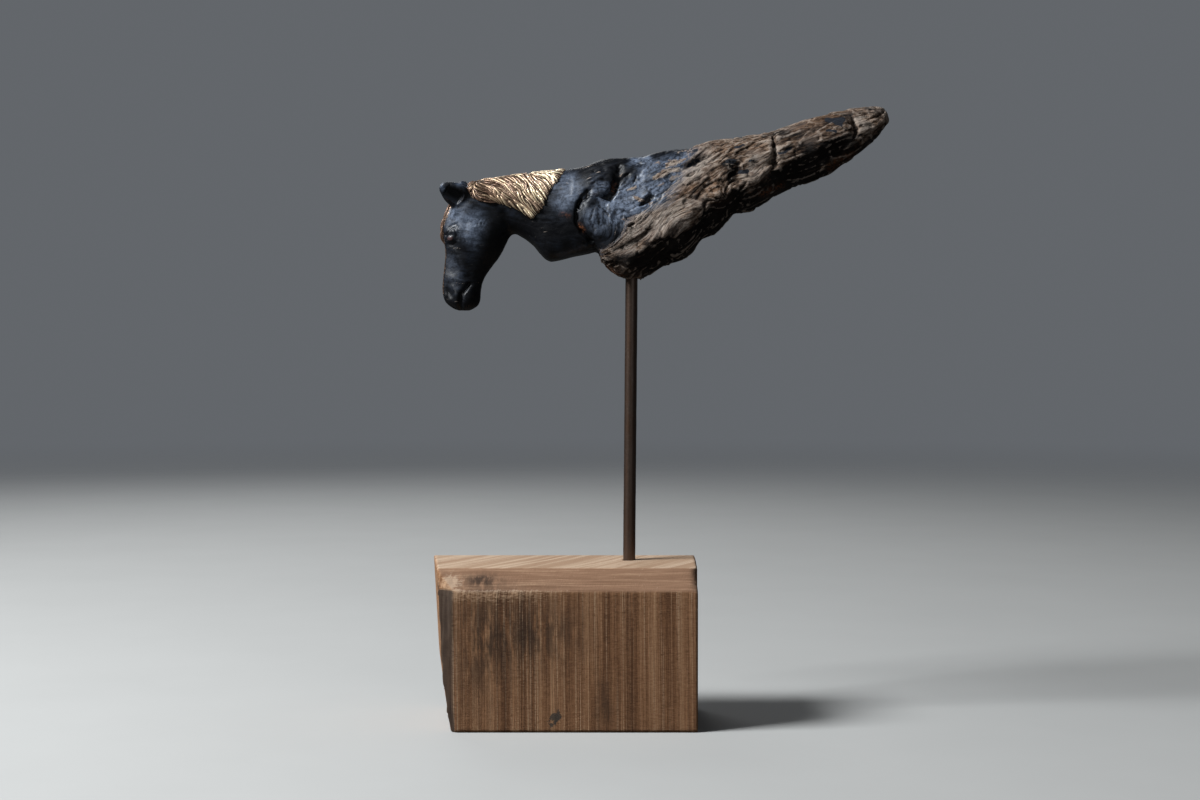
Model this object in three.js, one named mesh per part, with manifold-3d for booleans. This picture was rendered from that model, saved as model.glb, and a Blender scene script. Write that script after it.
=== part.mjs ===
// A horse's head and neck carved from one piece of driftwood, held up by a thin steel rod that stands in a
// block of old timber. Millimetres, +Z up, +X towards the tail of the driftwood, -Y towards the viewer.
// The origin is on the underside of the block, halfway along its front foot and halfway through its depth.

import * as THREE from "three";
import { ConvexGeometry } from "three/addons/geometries/ConvexGeometry.js";
import { mergeVertices } from "three/addons/utils/BufferGeometryUtils.js";
import Module from "manifold-3d";

const wasm = await Module();
wasm.setup();

// Driving dimensions

const block = {
  width: 115.4, // of the front face, at its foot
  depth: 64,
  height: 75.8,
  bevelDrop: 9.8, // the sawn bevel along the front of the top
  bevelSetback: 9,
  leftLean: 6, // how far the left end leans out over the height of the front face
  leftBelly: 1.4, // how far that end bows out of a straight line
  bellyShare: 0.35, // and how far up it does so
  backFlareLeft: 6, // how much further each end reaches at the back
  backFlareRight: 1.2,
  waneWidth: 7.6, // the old rounded arris on the left of the front face, at the bevel
  waneWidthFoot: 2,
  waneDepth: 4.6,
  waneDepthFoot: 1.6,
  cornerClip: 2.4, // the knocked corner at the right end of the bevel
};

const rod = {
  diameter: 6,
  exposed: 136.8, // between the block and the driftwood
  leanDegrees: 0.45, // towards the tail
  footX: 26.2, // where it leaves the top of the block
  footY: 11,
  inBlock: 30,
  inDriftwood: 18,
  sides: 32,
};

const socketClearance = 0.3;

const carving = {
  length: 217, // muzzle to the tip of the driftwood
  headCell: 1.84, // length of the facets on the head
  neckCell: 2.8, // on the neck
  woodCell: 5, // and on the driftwood
  crossCell: 2.2, // their width
};

// The carving is drawn 217 long, from the point where the rod enters it, and then scaled to its length.
const DRAWN_LENGTH = 217;
const drawnBox = { left: -98, right: 131, near: -25, far: 25, foot: -20, top: 90 };

// Small helpers for the carved form

const clamp01 = (t) => Math.min(1, Math.max(0, t));

const mix = (a, b, t) => a + (b - a) * t;

// Rises smoothly from 0 to 1 as x goes from the first value to the second, which may be the lower one.
function smoothstep(from, to, x) {
  const t = clamp01((x - from) / (to - from));
  return t * t * (3 - 2 * t);
}

// A smooth curve through [position, value] pairs, which keeps its end values beyond them.
function profile(points) {
  const last = points.length - 1;
  const slopes = points.map((point, i) => {
    const before = points[Math.max(i - 1, 0)];
    const after = points[Math.min(i + 1, last)];
    return (after[1] - before[1]) / (after[0] - before[0]);
  });
  return (x) => {
    if (x <= points[0][0]) return points[0][1];
    if (x >= points[last][0]) return points[last][1];
    let i = 0;
    while (points[i + 1][0] < x) i += 1;
    const span = points[i + 1][0] - points[i][0];
    const t = (x - points[i][0]) / span;
    const rest = 1 - t;
    return (
      points[i][1] * (1 + 2 * t) * rest * rest +
      points[i + 1][1] * (3 - 2 * t) * t * t +
      span * t * rest * (slopes[i] * rest - slopes[i + 1] * t)
    );
  };
}

// A repeatable number from -1 to 1 for each whole-number place.
function scatter(i, j, k) {
  let h = Math.imul(i, 374761393) ^ Math.imul(j, 668265263) ^ Math.imul(k, 1274126177);
  h = Math.imul(h ^ (h >>> 13), 1103515245);
  return ((h ^ (h >>> 16)) >>> 0) / 2147483648 - 1;
}

// Those numbers, blended smoothly between their places.
function noise(x, y, z) {
  const [i, j, k] = [x, y, z].map(Math.floor);
  const [u, v, w] = [x - i, y - j, z - k].map((t) => smoothstep(0, 1, t));
  const level = (c) => {
    const near = mix(scatter(i, j, c), scatter(i + 1, j, c), u);
    const far = mix(scatter(i, j + 1, c), scatter(i + 1, j + 1, c), u);
    return mix(near, far, v);
  };
  return mix(level(k), level(k + 1), w);
}

// Joins two fields with a fillet about as wide as the given width.
function blend(a, b, width) {
  const t = clamp01(0.5 + (0.5 * (b - a)) / width);
  return mix(b, a, t) - width * t * (1 - t);
}

// Distance from (x, z) to an open line of points, each point an [x, z] pair.
function distanceToLine(x, z, line) {
  let nearest = Infinity;
  for (let i = 0; i + 1 < line.length; i += 1) {
    const [x0, z0] = line[i];
    const dx = line[i + 1][0] - x0;
    const dz = line[i + 1][1] - z0;
    const t = clamp01(((x - x0) * dx + (z - z0) * dz) / (dx * dx + dz * dz));
    nearest = Math.min(nearest, Math.hypot(x - x0 - t * dx, z - z0 - t * dz));
  }
  return nearest;
}

// Distance to a superellipse with its centre at the origin, measured along the ray from that centre.
function ovalDistance(a, b, halfA, halfB, power) {
  const reach = Math.hypot(a, b) + 1e-6;
  const q = Math.pow(Math.pow(Math.abs(a) / halfA, power) + Math.pow(Math.abs(b) / halfB, power), 1 / power);
  return reach - reach / Math.max(q, 1e-6);
}

// The head hangs down, so its sections are level ones, from the muzzle up to the poll.

const faceFront = profile([
  [-16, -82], [-15, -85.4], [-13, -88.6], [-11, -90.3], [-7, -91.4], [-3, -91.5], [4, -90.8],
  [11, -90.1], [15, -90.3], [19, -90.9], [23, -91.1], [27, -90.4], [32, -88.6], [36, -86.2],
  [40, -82.5], [43, -78],
]);
const jawBack = profile([
  [-16, -80], [-15.2, -77.5], [-13.5, -74.8], [-11, -73.4], [-7, -73], [-3, -72.4], [0.5, -71], [5, -68],
  [10, -64.2], [15, -61.4], [19.5, -59.6], [24, -59], [29, -60.5], [34, -64], [39, -68.5], [43, -74],
]);
const headHalfWidth = profile([
  [-16, 2.4], [-14, 4.8], [-11, 6.1], [-7, 6.3], [-2, 5.5], [4, 5.7], [10, 6.9], [16, 8.4], [20, 9.2],
  [25, 9.1], [31, 8.5], [37, 7.2], [42, 4.6], [44, 3],
]);

// The face is narrow in front, the cheeks are broad, and the jaw narrows behind them.
const head = { chin: -15.6, poll: 43, squareness: 2.35, faceTaper: 0.3, jawTaper: 0.22 };

function headField(x, y, z) {
  const front = faceFront(z);
  const back = jawBack(z);
  const u = (2 * x - front - back) / (back - front);
  const taper = 1 - head.faceTaper * smoothstep(0.1, 1, -u) - head.jawTaper * smoothstep(0.35, 1, u);
  const half = headHalfWidth(z) * taper;
  const section = ovalDistance(x - (front + back) / 2, y, (back - front) / 2, half, head.squareness);
  return Math.max(section, head.chin - z, z - head.poll);
}

// The neck runs level, from the poll to the shoulder.

const crest = profile([
  [-85, 39], [-80, 43.4], [-76, 45.8], [-64, 48], [-49, 50.1], [-32, 52.2], [-15, 55.4], [0, 56.8],
]);
const throat = profile([
  [-85, 30], [-76, 25], [-66, 22.6], [-57, 21.8], [-52, 19.1], [-47.5, 15.6], [-44, 11.5], [-41.5, 9.1],
  [-38.5, 8], [-27, 10.6], [-14, 13.8], [0, 18],
]);
const neckHalfWidth = profile([
  [-85, 5.5], [-76, 7], [-66, 7.8], [-56, 8.7], [-47, 10.3], [-38, 11.6], [-25, 12.8], [-10, 13.4], [0, 12],
]);

// The neck is thin along the crest, and square along the cut underside of the chest.
const neck = { start: -84, end: 0, widestAt: 0.46, crestTaper: 0.3, roundness: 2, chestSquareness: 3 };

function neckField(x, y, z) {
  const top = crest(x);
  const foot = throat(x);
  const middle = mix(foot, top, neck.widestAt);
  const rise = z > middle ? top - middle : middle - foot;
  const u = Math.max((z - middle) / rise, 0);
  const half = neckHalfWidth(x) * (1 - neck.crestTaper * u * u);
  const underside = mix(neck.roundness, neck.chestSquareness, smoothstep(-52, -38, x));
  const power = z > middle ? neck.roundness : underside;
  return Math.max(ovalDistance(z - middle, y, rise, half, power), neck.start - x, x - neck.end);
}

// The driftwood: a twisted, tapering length with its widest line low on the side that is seen.

const woodTop = profile([
  [-27, 48.5], [-15, 55.2], [0, 57.4], [14, 60.8], [28, 62.2], [36, 64.9], [48, 67.3], [67, 70],
  [82, 75.1], [96, 79.7], [111, 82.4], [119, 83], [123, 80.8], [125, 77],
]);
const woodFoot = profile([
  [-27, 30], [-21, 22], [-16.5, 13.5], [-13.5, 7.8], [-10, 3.6], [-5, 0.6], [2.5, -0.4], [9, 2.2],
  [15, 5.6], [20, 7], [26.5, 10.2], [30, 13.4], [33.5, 18], [40, 21.6], [46, 27.6], [50, 31.4],
  [55.5, 31.6], [60, 33.6], [70, 40.2], [77, 43.7], [88.5, 47.6], [97, 51], [106, 57.6], [115, 65],
  [122, 72.6], [125, 77],
]);
const nearRidge = profile([
  [-27, 38], [-18, 24], [-12, 14], [-1, 12], [8.5, 17.4], [15, 19.8], [24, 22], [29, 26], [33.5, 31.5],
  [39, 35.6], [53, 42.5], [60, 46.2], [68, 52.4], [78, 61], [86, 64], [100, 66.2], [108, 69.8],
  [116, 73.6], [125, 77],
]);
const farRidge = profile([
  [-27, 38], [-10, 24], [10, 27], [30, 38], [50, 50], [75, 60], [100, 68], [125, 77],
]);
const woodHalfWidth = profile([
  [-27, 8.5], [-20, 13.2], [-14, 14.6], [-6, 15.8], [4, 17.4], [15, 18.2], [25, 17.6], [38, 15.4],
  [52, 13], [66, 11.4], [80, 10.2], [94, 9.4], [106, 8.2], [115, 6.6], [121, 4.4], [125, 2],
]);
const woodSway = profile([[0, 0], [40, 0.8], [80, 2.6], [125, 4.5]]);

const wood = { start: -26, end: 124.2, farSideShare: 0.9, topRoundness: 1.9, footRoundness: 1.7 };

function woodField(x, y, z) {
  const across = y - woodSway(x);
  const ridge = mix(nearRidge(x), farRidge(x), smoothstep(-5, 5, across));
  const rise = Math.max(z > ridge ? woodTop(x) - ridge : ridge - woodFoot(x), 1);
  const half = woodHalfWidth(x) * (across > 0 ? wood.farSideShare : 1);
  const power = z > ridge ? wood.topRoundness : wood.footRoundness;
  return Math.max(ovalDistance(z - ridge, across, rise, half, power), wood.start - x, x - wood.end);
}

// Each ear is a leaf with a scoop out of the side that it opens to.

const nearEar = {
  base: [-79.6, -4.6, 37], tip: [-91.7, -8, 44.3], opens: [-0.2, -0.95, -0.25], width: 6, depth: 3.3,
};
const farEar = {
  base: [-79.8, 4.6, 38.6], tip: [-82.2, 7.5, 47.4], opens: [-0.75, 0.5, 0.1], width: 4.8, depth: 3,
};

const earWidthAlong = profile([[0, 0.8], [0.3, 1], [0.6, 0.88], [0.85, 0.56], [1, 0.3]]);
const earScoop = { setOut: 1.25, widthShare: 0.66, depthShare: 0.95, reach: 6 };
const earRoot = 0.25; // how much of its length an ear reaches back into the head

// The ear with its own axes: along it, out of its open side, and across.
function withAxes(ear) {
  const base = new THREE.Vector3(...ear.base);
  const axis = new THREE.Vector3(...ear.tip).sub(base);
  const length = axis.length();
  axis.normalize();
  const opens = new THREE.Vector3(...ear.opens);
  opens.addScaledVector(axis, -opens.dot(axis)).normalize();
  return { ...ear, base, axis, opens, across: new THREE.Vector3().crossVectors(axis, opens), length };
}

const ears = [nearEar, farEar].map(withAxes);

function earField(point, ear) {
  const offset = point.clone().sub(ear.base);
  const along = offset.dot(ear.axis) / ear.length;
  const out = offset.dot(ear.opens);
  const across = offset.dot(ear.across);
  const width = ear.width * earWidthAlong(along);
  const depth = ear.depth * earWidthAlong(along);
  const leaf = ovalDistance(across, out, width, depth, 2);
  const scoop = ovalDistance(
    across,
    out - earScoop.setOut * depth,
    earScoop.widthShare * width,
    earScoop.depthShare * depth,
    2,
  );
  const closed = smoothstep(0.25, 0.05, along) + smoothstep(0.75, 0.95, along);
  const hollow = -scoop - earScoop.reach * closed;
  return Math.max(leaf, hollow, (along - 1) * ear.length, -(along + earRoot) * ear.length);
}

// Relief that is cut into or raised from one side. A mark has a line of [x, z] points, a width and a height,
// below zero where it is cut in.

const nearMarks = [
  { name: "upper crevice", line: [[-6.2, 51.5], [-8.8, 44], [-11.2, 38.8]], width: 1.9, height: -2.4 },
  { name: "turn of the crevice", line: [[-11.2, 38.8], [-16.5, 38.2]], width: 1.5, height: -1.2 },
  { name: "eye of the burl", line: [[-20.6, 40], [-24.4, 35]], width: 1.7, height: -1.8 },
  { name: "burl edge", line: [[-24.4, 35], [-25.8, 27], [-24, 22.6], [-19, 18]], width: 1.5, height: -1.3 },
  { name: "slit", line: [[9.7, 38.6], [5.4, 34.8]], width: 1.3, height: -1.5 },
  { name: "long hollow", line: [[35, 58], [31, 55.6], [26.6, 52.6]], width: 2, height: -1.8 },
  { name: "grey swelling", line: [[16, 25], [24, 31.5]], width: 7, height: 1.7 },
  { name: "knot", line: [[39, 41], [43, 38.4]], width: 3.4, height: 1.4 },
  { name: "cross split", line: [[68.2, 67.5], [68.6, 60], [67.8, 54]], width: 1.4, height: -1.5 },
  { name: "tail hollow", line: [[105.5, 78], [107.2, 70.5]], width: 1.8, height: -1.6 },
  { name: "undercut of the foot", line: [[4, 5.5], [20, 14]], width: 4.6, height: -2.2 },
  { name: "undercut of the waist", line: [[36, 27], [50, 37]], width: 4, height: -2 },
  { name: "undercut of the tail", line: [[70, 47], [86, 56], [98, 59.5]], width: 4.2, height: -2.4 },
  { name: "mouth", line: [[-78.4, -3.1], [-81.9, -7.4], [-82.9, -14.5]], width: 1.3, height: -1 },
  { name: "nostril", line: [[-88.2, -6.6], [-87.2, -8.4]], width: 1.4, height: -0.9 },
  { name: "nostril wing", line: [[-86.4, -4.4], [-84.8, -7.8]], width: 1.4, height: 0.5 },
  { name: "brow", line: [[-88.6, 22.6], [-84.8, 22.4]], width: 1.7, height: 1 },
  { name: "eyeball", line: [[-87.4, 19], [-86.4, 19]], width: 1.9, height: 1.3 },
  { name: "under the eye", line: [[-88, 15.6], [-84.6, 14.8]], width: 1.2, height: -0.6 },
  { name: "cheek bone", line: [[-84.6, 12], [-80, 3]], width: 1.8, height: 0.7 },
  { name: "cheek", line: [[-70.5, 23], [-70.5, 17]], width: 6.5, height: 1.1 },
  { name: "behind the cheek", line: [[-61.5, 31], [-59.4, 24], [-60.6, 17]], width: 2, height: -0.9 },
];

// The far side has the same face, and plainer wood.
const faceMarks = new Set([
  "mouth", "nostril", "nostril wing", "brow", "eyeball", "under the eye", "cheek bone", "cheek",
  "behind the cheek",
]);
const farMarks = [
  ...nearMarks.filter((mark) => faceMarks.has(mark.name)),
  { name: "far crevice", line: [[-4, 40], [6, 46], [16, 48]], width: 2.2, height: -1.8 },
  { name: "far swelling", line: [[28, 40], [40, 47]], width: 6, height: 1.3 },
  { name: "far split", line: [[60, 58], [76, 66]], width: 1.8, height: -1.6 },
];

function reliefHeight(x, y, z) {
  let height = 0;
  for (const mark of y < 0 ? nearMarks : farMarks) {
    const reach = distanceToLine(x, z, mark.line) / mark.width;
    height += mark.height * Math.exp(-reach * reach);
  }
  return height * smoothstep(0.6, 3.4, Math.abs(y));
}

// The mane lies on the neck in locks that run back and down from the crest, and the forelock on the forehead.

const nearManeEdge = profile([
  [-79.5, 43], [-78.3, 40.4], [-76.2, 37.7], [-69, 35.4], [-64, 35.3], [-58, 33.5], [-53.5, 31.4],
  [-48.6, 27.6], [-46.2, 29.3], [-43, 32.6], [-39.4, 40.9], [-34.8, 47.2], [-32, 52], [-28, 60],
]);
const farManeEdge = profile([
  [-79.5, 44], [-74, 39.5], [-60, 38.5], [-47, 38], [-38, 43.5], [-32, 52], [-28, 60],
]);

const mane = { rise: 0.8, lock: 7.4, lockRise: 0.5 };
const forelock = { halfWidth: 3.4, top: 37, foot: 16, rise: 0.7, lock: 2.6, lockRise: 0.25 };

function maneHeight(x, y, z) {
  const edge = mix(nearManeEdge(x), farManeEdge(x), smoothstep(-1, 1, y));
  const cover = smoothstep(0, 1.2, z - edge) * smoothstep(-79.8, -78.4, x) * smoothstep(-28, -30, x);
  const fall = crest(x) - z;
  const phase = (x + 76 - 0.55 * fall - 0.02 * fall * fall) / mane.lock;
  const settle = smoothstep(0, 5, fall); // the crest itself is worn almost smooth
  return cover * (mane.rise * mix(0.5, 1, settle) + mane.lockRise * settle * Math.cos(2 * Math.PI * phase));
}

function forelockHeight(x, y, z) {
  const span = forelock.halfWidth * mix(0.35, 1, smoothstep(forelock.foot, forelock.top - 6, z));
  const cover =
    smoothstep(span, span - 1, Math.abs(y)) *
    smoothstep(forelock.foot, forelock.foot + 4, z) *
    smoothstep(forelock.top + 3, forelock.top, z) *
    smoothstep(-82, -85, x);
  return cover * (forelock.rise + forelock.lockRise * Math.cos((2 * Math.PI * y) / forelock.lock));
}

// Weathered grain: long swellings and furrows that follow the twist of the wood.

const grainLine = profile([
  [-27, -4], [0, 6], [20, 20], [40, 37], [60, 48], [80, 56], [100, 63], [125, 71],
]);
const grain = {
  alongLump: 17, acrossLump: 8, lumpRise: 0.8, alongFurrow: 26, acrossFurrow: 5, furrowRise: 0.9,
};

function woodCover(x, z) {
  return smoothstep(-29, -17, x + 0.16 * (34 - z));
}

function grainHeight(x, y, z) {
  const across = z - grainLine(x);
  const lump = noise(x / grain.alongLump, y / grain.acrossLump, across / grain.acrossLump);
  const furrow = noise(x / grain.alongFurrow, y / grain.acrossFurrow, across / grain.acrossFurrow);
  const onSide = mix(0.35, 1, smoothstep(2, 8, Math.abs(y)));
  return woodCover(x, z) * onSide * (grain.lumpRise * lump + grain.furrowRise * furrow);
}

// The whole carved form, below zero inside the wood. The ears are read only near the top of the head.

const fillet = { headToNeck: 5, neckToWood: 4, ear: 1.2 };

function carvedField(x, y, z) {
  let distance = blend(headField(x, y, z), neckField(x, y, z), fillet.headToNeck);
  distance = blend(distance, woodField(x, y, z), fillet.neckToWood);
  distance -= maneHeight(x, y, z) + forelockHeight(x, y, z) + reliefHeight(x, y, z) + grainHeight(x, y, z);
  if (x > -72 || z < 30) return distance;
  const point = new THREE.Vector3(x, y, z);
  for (const ear of ears) distance = blend(distance, earField(point, ear), fillet.ear);
  return distance;
}

// Meshing: the field is read on a grid. Each sheet of surface that passes through a cell gets one point
// there, and each grid line that is crossed gets a four-sided face between the points of the cells round it.

function lineOf(low, high, stepAt) {
  const line = [low];
  while (line.at(-1) < high) line.push(line.at(-1) + stepAt(line.at(-1)));
  return line;
}

const AXES = [1, 2, 4]; // as bits of a cell's corner number: x, y, z
const CORNERS = [0, 1, 2, 3, 4, 5, 6, 7].map((n) => [n & 1, (n >> 1) & 1, (n >> 2) & 1]);
const EDGES = CORNERS.flatMap((_, n) => AXES.filter((bit) => !(n & bit)).map((bit) => [n, n | bit]));
const edgeBetween = (m, n) => EDGES.findIndex(([a, b]) => a === Math.min(m, n) && b === Math.max(m, n));
const SIDES = AXES.flatMap((bit) => {
  const [p, q] = AXES.filter((other) => other !== bit);
  return [0, bit].map((side) => [side, side | p, side | p | q, side | q]);
}).map((ring) => ring.map((corner, n) => ({ corner, edge: edgeBetween(corner, ring[(n + 1) % 4]) })));

// The crossed edges of a cell, as one list of edge numbers for each sheet of surface that passes through.
function sheetsIn(inside) {
  const crossed = EDGES.map(([m, n]) => inside[m] !== inside[n]);
  const sheetOf = EDGES.map((_, e) => e);
  const join = (a, b) => {
    const [from, to] = [sheetOf[a], sheetOf[b]];
    sheetOf.forEach((sheet, e) => {
      if (sheet === from) sheetOf[e] = to;
    });
  };
  for (const ring of SIDES) {
    const cut = ring.filter(({ edge }) => crossed[edge]);
    if (cut.length === 2) join(cut[0].edge, cut[1].edge);
    if (cut.length < 4) continue;
    ring.forEach(({ corner, edge }, n) => {
      if (inside[corner]) join(ring[(n + 3) % 4].edge, edge);
    });
  }
  const sheets = new Map();
  sheetOf.forEach((sheet, e) => {
    if (crossed[e]) sheets.set(sheet, [...(sheets.get(sheet) ?? []), e]);
  });
  return [...sheets.values()];
}

function pullToSurface(point, field, reach) {
  const step = 0.05;
  const start = point.clone();
  for (let turn = 0; turn < 4; turn += 1) {
    const { x, y, z } = point;
    const here = field(x, y, z);
    const slope = new THREE.Vector3(
      field(x + step, y, z) - here,
      field(x, y + step, z) - here,
      field(x, y, z + step) - here,
    ).divideScalar(step);
    point.addScaledVector(slope, -here / Math.max(slope.lengthSq(), 0.2));
  }
  const moved = point.clone().sub(start);
  if (moved.length() > reach) point.copy(start).addScaledVector(moved, reach / moved.length());
}

function surfaceOf(field, xs, ys, zs) {
  const [nx, ny, nz] = [xs.length, ys.length, zs.length];
  const at = (i, j, k) => (i * ny + j) * nz + k;
  const values = new Float64Array(nx * ny * nz);
  for (let i = 0; i < nx; i += 1)
    for (let j = 0; j < ny; j += 1)
      for (let k = 0; k < nz; k += 1) values[at(i, j, k)] = field(xs[i], ys[j], zs[k]);

  const points = [];
  const pointOf = new Int32Array(values.length * EDGES.length).fill(-1);
  for (let i = 0; i < nx - 1; i += 1)
    for (let j = 0; j < ny - 1; j += 1)
      for (let k = 0; k < nz - 1; k += 1) {
        const value = CORNERS.map(([a, b, c]) => values[at(i + a, j + b, k + c)]);
        const inside = value.map((v) => v < 0);
        if (inside.every((side) => side === inside[0])) continue;
        const cell = Math.min(xs[i + 1] - xs[i], ys[j + 1] - ys[j], zs[k + 1] - zs[k]);
        for (const sheet of sheetsIn(inside)) {
          const point = new THREE.Vector3();
          for (const e of sheet) {
            const [m, n] = EDGES[e];
            const [from, to] = [CORNERS[m], CORNERS[n]].map(
              ([a, b, c]) => new THREE.Vector3(xs[i + a], ys[j + b], zs[k + c]),
            );
            point.addScaledVector(from.lerp(to, value[m] / (value[m] - value[n])), 1 / sheet.length);
            pointOf[at(i, j, k) * EDGES.length + e] = points.length;
          }
          pullToSurface(point, field, 0.45 * cell);
          points.push(point);
        }
      }

  const index = [];
  const addFace = (face) => {
    const [a, b, c, d] = face.map((p) => points[p]);
    const split = a.distanceTo(c) <= b.distanceTo(d) ? [0, 1, 2, 0, 2, 3] : [1, 2, 3, 1, 3, 0];
    index.push(...split.map((n) => face[n]));
  };
  const rounds = [
    [[0, -1, -1], [0, 0, -1], [0, 0, 0], [0, -1, 0]],
    [[-1, 0, -1], [-1, 0, 0], [0, 0, 0], [0, 0, -1]],
    [[-1, -1, 0], [0, -1, 0], [0, 0, 0], [-1, 0, 0]],
  ];
  for (let i = 1; i < nx - 1; i += 1)
    for (let j = 1; j < ny - 1; j += 1)
      for (let k = 1; k < nz - 1; k += 1)
        AXES.forEach((bit, axis) => {
          const next = CORNERS[bit];
          const from = values[at(i, j, k)] < 0;
          const to = values[at(i + next[0], j + next[1], k + next[2])] < 0;
          if (from === to) return;
          const face = rounds[axis].map(([a, b, c]) => {
            const corner = -a + 2 * -b + 4 * -c;
            return pointOf[at(i + a, j + b, k + c) * EDGES.length + edgeBetween(corner, corner | bit)];
          });
          addFace(from ? face : face.reverse());
        });

  const geometry = new THREE.BufferGeometry().setFromPoints(points);
  geometry.setIndex(index);
  return geometry;
}

// Solids

function solidFrom(geometry) {
  const bare = geometry.clone();
  bare.deleteAttribute("normal");
  bare.deleteAttribute("uv");
  const welded = mergeVertices(bare, 1e-4);
  return new wasm.Manifold(
    new wasm.Mesh({
      numProp: 3,
      vertProperties: new Float32Array(welded.attributes.position.array),
      triVerts: new Uint32Array(welded.index.array),
    }),
  );
}

function geometryFrom(solid) {
  const { vertProperties, triVerts } = solid.getMesh();
  const geometry = new THREE.BufferGeometry();
  geometry.setAttribute("position", new THREE.BufferAttribute(new Float32Array(vertProperties), 3));
  geometry.setIndex([...triVerts]);
  geometry.computeVertexNormals();
  return geometry;
}

const rodLean = THREE.MathUtils.degToRad(rod.leanDegrees);

// The rod's own hole, from a mouth at the origin to the given depth, up or down along the leaning rod.
function socketCutter(depth, direction) {
  const mouth = 5; // how far the cutter stands out of the wood
  const geometry = new THREE.CylinderGeometry(
    rod.diameter / 2 + socketClearance,
    rod.diameter / 2 + socketClearance,
    depth + socketClearance + mouth,
    rod.sides,
  );
  geometry.rotateX(Math.PI / 2);
  geometry.translate(0, 0, (direction * (depth + socketClearance - mouth)) / 2);
  geometry.rotateY(rodLean);
  return geometry;
}

// Pieces

function makeBlock() {
  const { width, depth, height } = block;
  const front = -depth / 2;
  const back = depth / 2;
  const left = -width / 2;
  const right = width / 2;
  const bevelFoot = height - block.bevelDrop;
  const leftAt = (z) => left - block.leftLean * (z / bevelFoot);
  const bellyHeight = bevelFoot * block.bellyShare;
  const bellyWane = mix(block.waneDepthFoot, block.waneDepth, block.bellyShare);
  const corners = [
    [left + block.waneWidthFoot, front, 0],
    [left, front + block.waneDepthFoot, 0],
    [left - block.backFlareLeft, back, 0],
    [right + block.backFlareRight, back, 0],
    [right, front, 0],

    [leftAt(bellyHeight) - block.leftBelly, front + bellyWane, bellyHeight],
    [leftAt(bellyHeight) - block.leftBelly - block.backFlareLeft, back, bellyHeight],
    [leftAt(bevelFoot) + block.waneWidth, front, bevelFoot],
    [leftAt(bevelFoot), front + block.waneDepth, bevelFoot],
    [right, front, bevelFoot],
    [leftAt(height), front + block.bevelSetback, height],
    [leftAt(height) - block.backFlareLeft, back, height],
    [right + block.backFlareRight, back, height],
    [right - block.cornerClip, front + block.bevelSetback, height],
    [right, front + block.bevelSetback + block.cornerClip, height],
  ];
  const timber = solidFrom(new ConvexGeometry(corners.map((corner) => new THREE.Vector3(...corner))));
  const cutter = socketCutter(rod.inBlock, -1).translate(rod.footX, rod.footY, height);
  const material = new THREE.MeshStandardMaterial({ color: 0x8a6a4c, roughness: 0.85, metalness: 0 });
  const mesh = new THREE.Mesh(geometryFrom(timber.subtract(solidFrom(cutter))), material);
  mesh.name = "timber_block";
  return mesh;
}

function makeRod() {
  const length = rod.inBlock + rod.exposed + rod.inDriftwood;
  const geometry = new THREE.CylinderGeometry(rod.diameter / 2, rod.diameter / 2, length, rod.sides);
  geometry.rotateX(Math.PI / 2);
  geometry.translate(0, 0, length / 2 - rod.inBlock);
  const material = new THREE.MeshStandardMaterial({ color: 0x3a2c25, roughness: 0.5, metalness: 0.8 });
  const mesh = new THREE.Mesh(geometry, material);
  mesh.name = "steel_rod";
  return mesh;
}

function makeCarving() {
  const { headCell, neckCell, woodCell, crossCell } = carving;
  const surface = surfaceOf(
    carvedField,
    lineOf(drawnBox.left, drawnBox.right, profile([[-72, headCell], [-48, neckCell], [5, woodCell]])),
    lineOf(drawnBox.near, drawnBox.far, (y) => (Math.abs(y) < 10 ? crossCell : neckCell)),
    lineOf(drawnBox.foot, drawnBox.top, profile([[48, crossCell], [60, woodCell * 0.8], [90, woodCell]])),
  );
  const whole = solidFrom(surface).scale(carving.length / DRAWN_LENGTH);
  const cutter = solidFrom(socketCutter(rod.inDriftwood, 1));
  const material = new THREE.MeshStandardMaterial({ color: 0x2b2826, roughness: 0.6, metalness: 0.1 });
  const mesh = new THREE.Mesh(geometryFrom(whole.subtract(cutter)), material);
  mesh.name = "carved_driftwood";
  return mesh;
}

// Assembly: the rod leans a little, and the carving sits level on its end.

const stand = new THREE.Group();
stand.position.set(rod.footX, rod.footY, block.height);
stand.rotation.y = rodLean;
stand.add(makeRod());

const seat = new THREE.Group();
seat.position.set(
  rod.footX + rod.exposed * Math.sin(rodLean),
  rod.footY,
  block.height + rod.exposed * Math.cos(rodLean),
);
seat.add(makeCarving());

const sculpture = new THREE.Group();
sculpture.name = "driftwood_horse";
sculpture.add(makeBlock(), stand, seat);

export default sculpture;
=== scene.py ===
"""Dresses the driftwood horse: the timber block, the steel rod, the carving and its gilded locks.

The carved form is worked out in the carving's own frame: millimetres from the point where the rod enters the
wood, x towards the tail, y away from the viewer, z up.
"""

import logging
import math
from collections.abc import Callable
from dataclasses import dataclass, field
from enum import Enum
from typing import Any

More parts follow.
